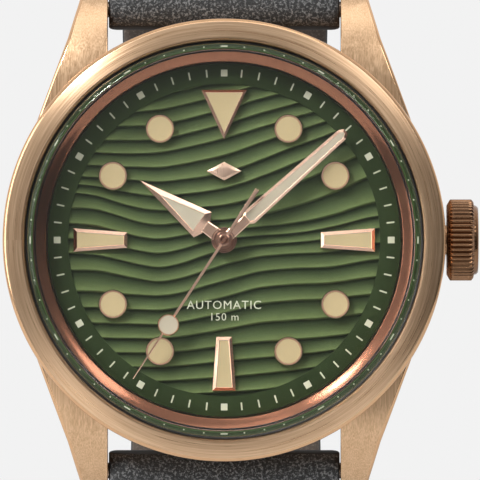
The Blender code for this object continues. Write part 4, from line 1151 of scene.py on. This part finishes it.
# %% Jewels and screws
def jewel(radius):
    return lathe(rounded([(radius * 0.25, 0.0), (radius * 0.5, -0.06 * MM), (radius, -0.06 * MM),
                          (radius, 0.1 * MM), (radius * 0.25, 0.1 * MM)][::-1], 0.02 * MM), 32)


def slotted(radius, height=0.2 * MM):
    """A screw's head with its slot, drawn pointing down, as the case back sees it."""
    bm = plate(arc((0, 0), radius, 0, 360, 32)[:-1], -height, 0.05 * MM)
    reach, half_slot = 2 * radius, 0.18 * radius
    return subtract(bm, [((-reach, -half_slot, -2 * height), (reach, half_slot, -0.45 * height))])


bridge_face = bench("train_bridge")[0].z
upper_face = bench("auto_bridge")[0].z
jewels = [(-4.6, 3.4, bridge_face), (-6.9, 1.1, bridge_face), (0.9, 9.4, bridge_face),
          (-4.2, -6.6, upper_face)]
stones = [(jewel(0.62 * MM), shift(x * MM, y * MM, level)) for x, y, level in jewels]
keep_piece(joined(*stones), "jewels", ruby, "case")
screws = [(-10.9, 3.2, bridge_face), (-2.0, 11.3, bridge_face), (10.8, 2.2, bridge_face),
          (-8.6, 3.4, upper_face), (-1.9, -9.4, upper_face), (6.6, 9.3, bridge_face)]
heads = [(slotted(0.75 * MM), shift(x * MM, y * MM, level) @ turn(37 * k))
         for k, (x, y, level) in enumerate(screws)]
keep_piece(joined(*heads), "bridge_screws", blued_steel, "case", smooth=25)
print("jewels:", len(jewels), "screws:", len(screws))

# %% [markdown]
# ## Case back
# A steel ring screws into the case and holds a second sapphire window over the movement. Its
# face is brushed round the circle, and six shallow slots take the opening tool.

# %% Back ring and window
back_ring = lathe(rounded(mm(
    (12.78, 0.0), (12.78, 1.04), (12.28, 1.06), (12.28, 1.3),
    (14.4, 2.9), (15.55, 2.9), (15.55, 1.75), (16.6, 1.75),
    (16.6, 0.9), (15.6, 0.0),
), 0.08 * MM), 192)
tool_slots = []
for k in range(6):
    angle = math.radians(60 * k + 30)
    spot = Vector((15.75 * MM * math.cos(angle), 15.75 * MM * math.sin(angle), 0))
    size = Vector((0.8 * MM, 0.8 * MM, 0.4 * MM))
    tool_slots.append((spot - size, spot + size))
back_ring = subtract(back_ring, tool_slots)
for face in back_ring.faces:
    face.material_index = 0 if face.normal.z < -0.9 else 1
keep_piece(back_ring, "back_ring", [steel_brushed, steel_polished], "case", ["case_back_ring"],
           smooth=30)
glass = lathe(mm((0.0, 0.98), (12.5, 0.98), (12.68, 0.85), (12.68, 0.15), (12.5, 0.0), (0.0, 0.0)),
              128, closed=False)
back_glass = keep_piece(glass, "back_glass", sapphire, "case", ["back_window"], smooth=30)
back_glass.visible_shadow = False
seal = lathe(rounded(mm((15.9, 2.3), (16.4, 2.3), (16.4, 1.78), (15.9, 1.78)), 0.12 * MM), 96)
keep_piece(seal, "back_seal", seal_rubber, "case", ["case_back_gasket"])
print("case back slots:", len(tool_slots))

# %% [markdown]
# ## Strap
# Charcoal suede leather with a painted black edge. Each half is lofted along the path that the
# frame's hinges follow: straight out of the horns, round the wrist and straight again at the
# buckle. The loft is cut in the middle of each stiff stretch of the frame; the end pieces go to
# their hinges' bodies, and each piece between lies across two of them and goes to neither.

# %% The path along each half
BAR = (19.9 * MM, 2.7 * MM)
DROP = math.radians(30)
HALVES = {
    "12": {"bend_r": 24.0 * MM, "bend": 50.0 * MM, "cuts": [0, 25.0 * MM, 50.0 * MM, 75.0 * MM],
           "tail": 2.6 * MM, "side": 1},
    "6": {"bend_r": 50.0 * MM, "bend": 95.0 * MM,
          "cuts": [0, 28.0 * MM, 57.0 * MM, 86.0 * MM, 115.0 * MM], "tail": 2.2 * MM, "side": -1},
}


def strap_frame(half, s):
    """The place at s along a half: x across the strap, y along it, z out of the loop."""
    angle = DROP + min(max(s, 0.0), half["bend"]) / half["bend_r"]
    y = BAR[0] + half["bend_r"] * (math.sin(angle) - math.sin(DROP))
    z = BAR[1] + half["bend_r"] * (math.cos(angle) - math.cos(DROP))
    straight = s - half["bend"] if s > half["bend"] else min(s, 0.0)
    y += straight * math.cos(angle)
    z -= straight * math.sin(angle)
    side = Matrix.Rotation(math.pi, 4, "Z") if half["side"] < 0 else HERE
    return side @ shift(0, y, z) @ Matrix.Rotation(-angle, 4, "X")


def strap_size(half, s):
    """(half width, half thickness) at s, thick at the horns and thin at the end."""
    length = half["cuts"][-1]
    share = min(max(s / length, 0.0), 1.0)
    width = (19.9 - 1.9 * share) * MM
    body = 3.0 * MM + (half["tail"] - 3.0 * MM) * share
    swell = max(0.0, 1 - s / (9.0 * MM)) ** 2
    return width / 2, (body + 0.5 * MM * swell) / 2


for name, half in HALVES.items():
    end = (STAND @ strap_frame(half, half["cuts"][-1])).translation
    print(f"strap half {name} ends at", [round(c / MM, 1) for c in end], "mm")


# %% [markdown]
# The cross-section is a flat bar with softly rounded shoulders, drawn once as a ring of points
# and carried from station to station. Seen from outside, the top swells a little, as leather
# over a thin filler does.

# %% Lofting a stretch
def section(half_width, half_thick, sides=5):
    """A closed ring of (x, z) points, anticlockwise, with a gentle crown on the outer side."""
    radius = min(0.7 * MM, half_thick * 0.75)
    ring = []
    for sx, sz, start in ((1, 1, 0), (-1, 1, 90), (-1, -1, 180), (1, -1, 270)):
        centre = (sx * (half_width - radius), sz * (half_thick - radius))
        ring += arc(centre, radius, start, start + 90, sides)
        if start in (0, 180):
            steps = 14
            first, last = ring[-1][0], -ring[-1][0]
            for k in range(1, steps):
                x = first + (last - first) * k / steps
                crown = 0.1 * MM * (1 - (x / half_width) ** 2) if sz > 0 else 0.0
                ring.append((x, sz * half_thick + crown))
    return ring


def loft(half, stations):
    """Bridges the section from station to station. A station is (s, width share, thickness share)."""
    bm = bmesh.new()
    rings = []
    for s, wide, thick in stations:
        half_width, half_thick = strap_size(half, s)
        place = strap_frame(half, s)
        points = section(half_width * wide, half_thick * thick)
        verts = [bm.verts.new(place @ Vector((x, 0, z))) for x, z in points]
        rings.append([bm.edges.new((a, b)) for a, b in zip(verts, verts[1:] + verts[:1])])
    bm.faces.new([e.verts[0] for e in rings[0]])
    bm.faces.new([e.verts[0] for e in rings[-1]])
    for ring, following in zip(rings, rings[1:]):
        bmesh.ops.bridge_loops(bm, edges=ring + following)
    bmesh.ops.remove_doubles(bm, verts=bm.verts, dist=WELD)
    bmesh.ops.recalc_face_normals(bm, faces=bm.faces)
    return bm


# %% [markdown]
# ### Suede
# Suede is a short nap: dark at the root, pale where the fibres lie over or have been rubbed.
# Three noises do it, a broad one for handling, a middling one for the worn flecks and a fine
# one for the nap. The edge is sealed with black paint.

# %% The suede and its edge
def suede(name, dark, pale, fleck):
    material, tree, shader = new_material(name)
    place = add_node(tree, "TexCoord").outputs["Object"]
    nap = noise(tree, place, 5200.0, 4.0)
    worn = noise(tree, place, 4200.0, 3.0, 0.78)
    handled = noise(tree, place, 160.0)
    spots = add_node(tree, "MapRange", {"Value": worn}, in_From_Min=0.5, in_From_Max=0.62)
    blended = two_tone(tree, handled, dark, pale)
    flecked = two_tone(tree, spots.outputs[0], blended, fleck)
    tree.links.new(flecked, shader.inputs["Base Color"])
    height = math_node(tree, "ADD", nap, math_node(tree, "MULTIPLY", worn, 2.0))
    add_relief(tree, shader, height, 0.00003)
    shader.inputs["Roughness"].default_value = 0.9
    shader.inputs["Sheen Weight"].default_value = 0.25
    shader.inputs["Sheen Roughness"].default_value = 0.5
    return material


suede_top = suede("suede_charcoal", (0.014, 0.0145, 0.015), (0.032, 0.033, 0.034), (0.23, 0.233, 0.233))
suede_back = suede("lining_leather", (0.05, 0.035, 0.026), (0.09, 0.065, 0.048), (0.13, 0.10, 0.08))
edge_paint = chalky("edge_paint", (0.012, 0.012, 0.013), 0.6, 0.3, 3000.0, 0.00001)

# %% Strap pieces
ROUND_END = [math.radians(a) for a in (17, 35, 52, 70, 86)]


def nearest_s(half, point, start, end, steps=24):
    """The length along the strap whose middle lies closest to a point."""
    reach = end - start + 4 * MM
    tries = [start - 2 * MM + reach * k / steps for k in range(steps + 1)]
    return min(tries, key=lambda s: (strap_frame(half, s).translation - point).length)


def strap_pieces(label, half):
    """Lofts one half in pieces. The end pieces go to their hinges' bodies; a middle piece lies
    between two of them and goes to neither.
    """
    cuts = half["cuts"]
    middles = [(a + b) / 2 for a, b in zip(cuts, cuts[1:])]
    spans = [(0.0, middles[0])] + list(zip(middles, middles[1:])) + [(middles[-1], cuts[-1])]
    bodies = [f"strap_{label}_{letter}" for letter in "abcd"[: len(middles)]]
    for k, (start, end) in enumerate(spans):
        steps = max(6, round((end - start) / MM))
        stations = [(start + (end - start) * n / steps, 1.0, 1.0) for n in range(steps + 1)]
        if k == 0:
            lead = [(-1.75 * MM * math.sin(a), 1.0, math.cos(a)) for a in ROUND_END[::-1]]
            stations = lead + stations
        if k == len(spans) - 1 and label == "12":
            stations += [(end + 1.28 * MM * math.sin(a), 1.0, math.cos(a)) for a in ROUND_END]
        if k == len(spans) - 1 and label == "6":
            reach = 9.0 * MM
            stations = [p for p in stations if p[0] < end - reach]
            tip = [math.radians(a) for a in range(0, 89, 8)]
            stations += [(end - reach + reach * math.sin(a), math.cos(a) ** 0.9, 1.0) for a in tip]
        bm = loft(half, stations)
        for face in bm.faces:
            local = strap_frame(half, nearest_s(half, face.calc_center_median(), start, end))
            normal = local.to_3x3().inverted() @ face.normal
            facing_out = 0.12 if abs(normal.x) < 0.2 else 0.55
            face.material_index = 0 if normal.z > facing_out else (1 if normal.z < -0.55 else 2)
        if k == 0:
            body = bodies[0]
        elif k == len(spans) - 1:
            body = bodies[-1]
        else:
            points = [(STAND @ strap_frame(half, s)).translation for s in (start, end)]
            body = (bodies[k - 1], bodies[k], points[0], points[1])
        stands_for = [bodies[k]] if k < len(bodies) else []
        keep_piece(bm, f"strap_{label}_part_{k + 1}", [suede_top, suede_back, edge_paint], body,
                   stands_for, smooth=60)
    return spans


for label, half in HALVES.items():
    spans = strap_pieces(label, half)
    print("strap half", label, "in", len(spans), "pieces")

# %% [markdown]
# ## Buckle, tang and keepers
# The buckle's frame and tang come from the frame's own solids with well rounded edges, since
# a buckle has no sharp corner that could catch a sleeve. The keepers are loops of the strap's
# own leather.

# %% Buckle and keepers
keep_refined("buckle_frame", bronze_polished, 0.35 * MM, 3, 40)
keep_refined("buckle_tang", bronze_polished, 0.15 * MM, 2, 40)
for node in ("fixed_keeper", "sliding_keeper"):
    keep_refined(node, suede_top, 0.25 * MM, 3, 40)
for node in ("spring_bar_12", "spring_bar_6", "buckle_bar"):
    keep_refined(node, steel_polished, 0.08 * MM, 2, 40)

# %% [markdown]
# ## Floor, light and camera
# A plain studio: a strong light high on the left, a broad weak one on the right, two faint
# ones low in front, and three large cards beside, under and over the watch, which its flanks
# mirror. The room is darker below and on the right, so that bronze has something to reflect;
# the camera itself sees a plain pale ground.

# %% Floor
FLOOR_R = 0.2
FLOOR_BACK = 0.12
floor_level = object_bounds()[0][2] - 0.5 * MM
floor = bmesh.new()
bmesh.ops.create_circle(floor, cap_ends=True, segments=96, radius=FLOOR_R)
bmesh.ops.translate(floor, verts=floor.verts, vec=(0, FLOOR_BACK, floor_level))
floor_mesh = as_mesh(floor, "floor")
floor_mesh.materials.append(chalky("pale_floor", (0.86, 0.86, 0.86), 0.8, 0.01, 200.0, 0.0))
add_object("floor", floor_mesh)
print("floor at", round(floor_level / MM, 2), "mm")

# %% Room light
world = bpy.data.worlds.new("studio")
bpy.context.scene.world = world
world.use_nodes = True
tree = world.node_tree
tree.nodes.clear()
path = add_node(tree, "LightPath")
direction = add_node(tree, "TexCoord")
toward = add_node(tree, "SeparateXYZ", {0: direction.outputs["Generated"]})
SKY_AND_FLOOR, RIGHT, SKY, PLAIN, IN_FRONT, LEAST = 0.2, -0.18, 0.46, 0.28, 0.16, 0.05
FRONT_TIGHTNESS = 24.0
DIFFUSE_LOSS = 0.5


def times(one, other):
    return math_node(tree, "MULTIPLY", one, other)


def plus(one, other):
    return math_node(tree, "ADD", one, other)


height = math_node(tree, "POWER", math_node(tree, "ABSOLUTE", toward.outputs[2]), 2.0)
facing = math_node(tree, "MAXIMUM", times(toward.outputs[1], -1.0), 0.0)
ends = plus(times(height, SKY_AND_FLOOR), times(toward.outputs[0], RIGHT))
level = plus(ends, plus(times(toward.outputs[2], SKY), PLAIN))
level = plus(level, times(math_node(tree, "POWER", facing, FRONT_TIGHTNESS), IN_FRONT))
fill = math_node(tree, "SUBTRACT", 1.0, times(path.outputs["Is Diffuse Ray"], DIFFUSE_LOSS))
strength = times(math_node(tree, "MAXIMUM", level, LEAST), fill)
room = add_node(tree, "Background", {"Strength": strength})
ground = add_node(tree, "Background", in_Strength=1.0)
ground.inputs["Color"].default_value = (0.888, 0.888, 0.888, 1.0)
rays = path.outputs
mirrored = math_node(tree, "MAXIMUM", rays["Is Glossy Ray"], rays["Is Transmission Ray"])
behind = add_node(tree, "MapRange", {"Value": toward.outputs[1]}, in_From_Min=0.0, in_From_Max=0.35)
in_metal = times(mirrored, behind.outputs[0])
seen = math_node(tree, "MAXIMUM", path.outputs["Is Camera Ray"], in_metal)
shown = add_node(tree, "MixShader", {0: seen, 1: room.outputs[0], 2: ground.outputs[0]})
add_node(tree, "OutputWorld", {0: shown.outputs[0]})
print("world:", world.name)


# %% Lamps
def lamp(name, place, size, power):
    """A rectangular lamp that faces the middle of the watch."""
    light = bpy.data.lights.new(name, "AREA")
    light.shape = "RECTANGLE"
    light.size, light.size_y = size
    light.energy = power
    holder = add_object(name, light)
    holder.location = place
    holder.rotation_euler = (-Vector(place)).to_track_quat("-Z", "Y").to_euler()


lamp("key_light", (-0.30, -0.37, 0.36), (0.10, 0.10), 2.0)
lamp("top_light", (0.27, -0.36, 0.30), (0.22, 0.22), 0.55)
lamp("lower_left", (-0.17, -0.52, -0.17), (0.12, 0.12), 0.10)
lamp("lower_right", (0.17, -0.52, -0.17), (0.12, 0.12), 0.03)
lamp("left_card", (-0.55, -0.12, 0.10), (0.30, 0.50), 1.5)
lamp("low_card", (-0.10, -0.06, -0.60), (0.50, 0.30), 0.3)
lamp("high_card", (0.05, -0.16, 0.60), (0.60, 0.30), 0.6)
print("lamps:", len(bpy.data.lights))

# %% Camera
DISTANCE = 0.80
VIEW_WIDTH = 41.17 * MM
TO_THE_RIGHT = 1.36 * MM
FRONT_PLANE = 8.0 * MM
camera_data = bpy.data.cameras.new("camera")
camera_data.sensor_width = 36.0
camera_data.lens = camera_data.sensor_width * (DISTANCE - FRONT_PLANE) / VIEW_WIDTH
camera = add_object("camera", camera_data)
camera.location = (TO_THE_RIGHT, -DISTANCE, 0.0)
camera.rotation_euler = (math.pi / 2, 0, 0)
bpy.context.scene.camera = camera
bpy.context.scene.view_settings.view_transform = "Standard"
print("lens:", round(camera_data.lens), "mm")
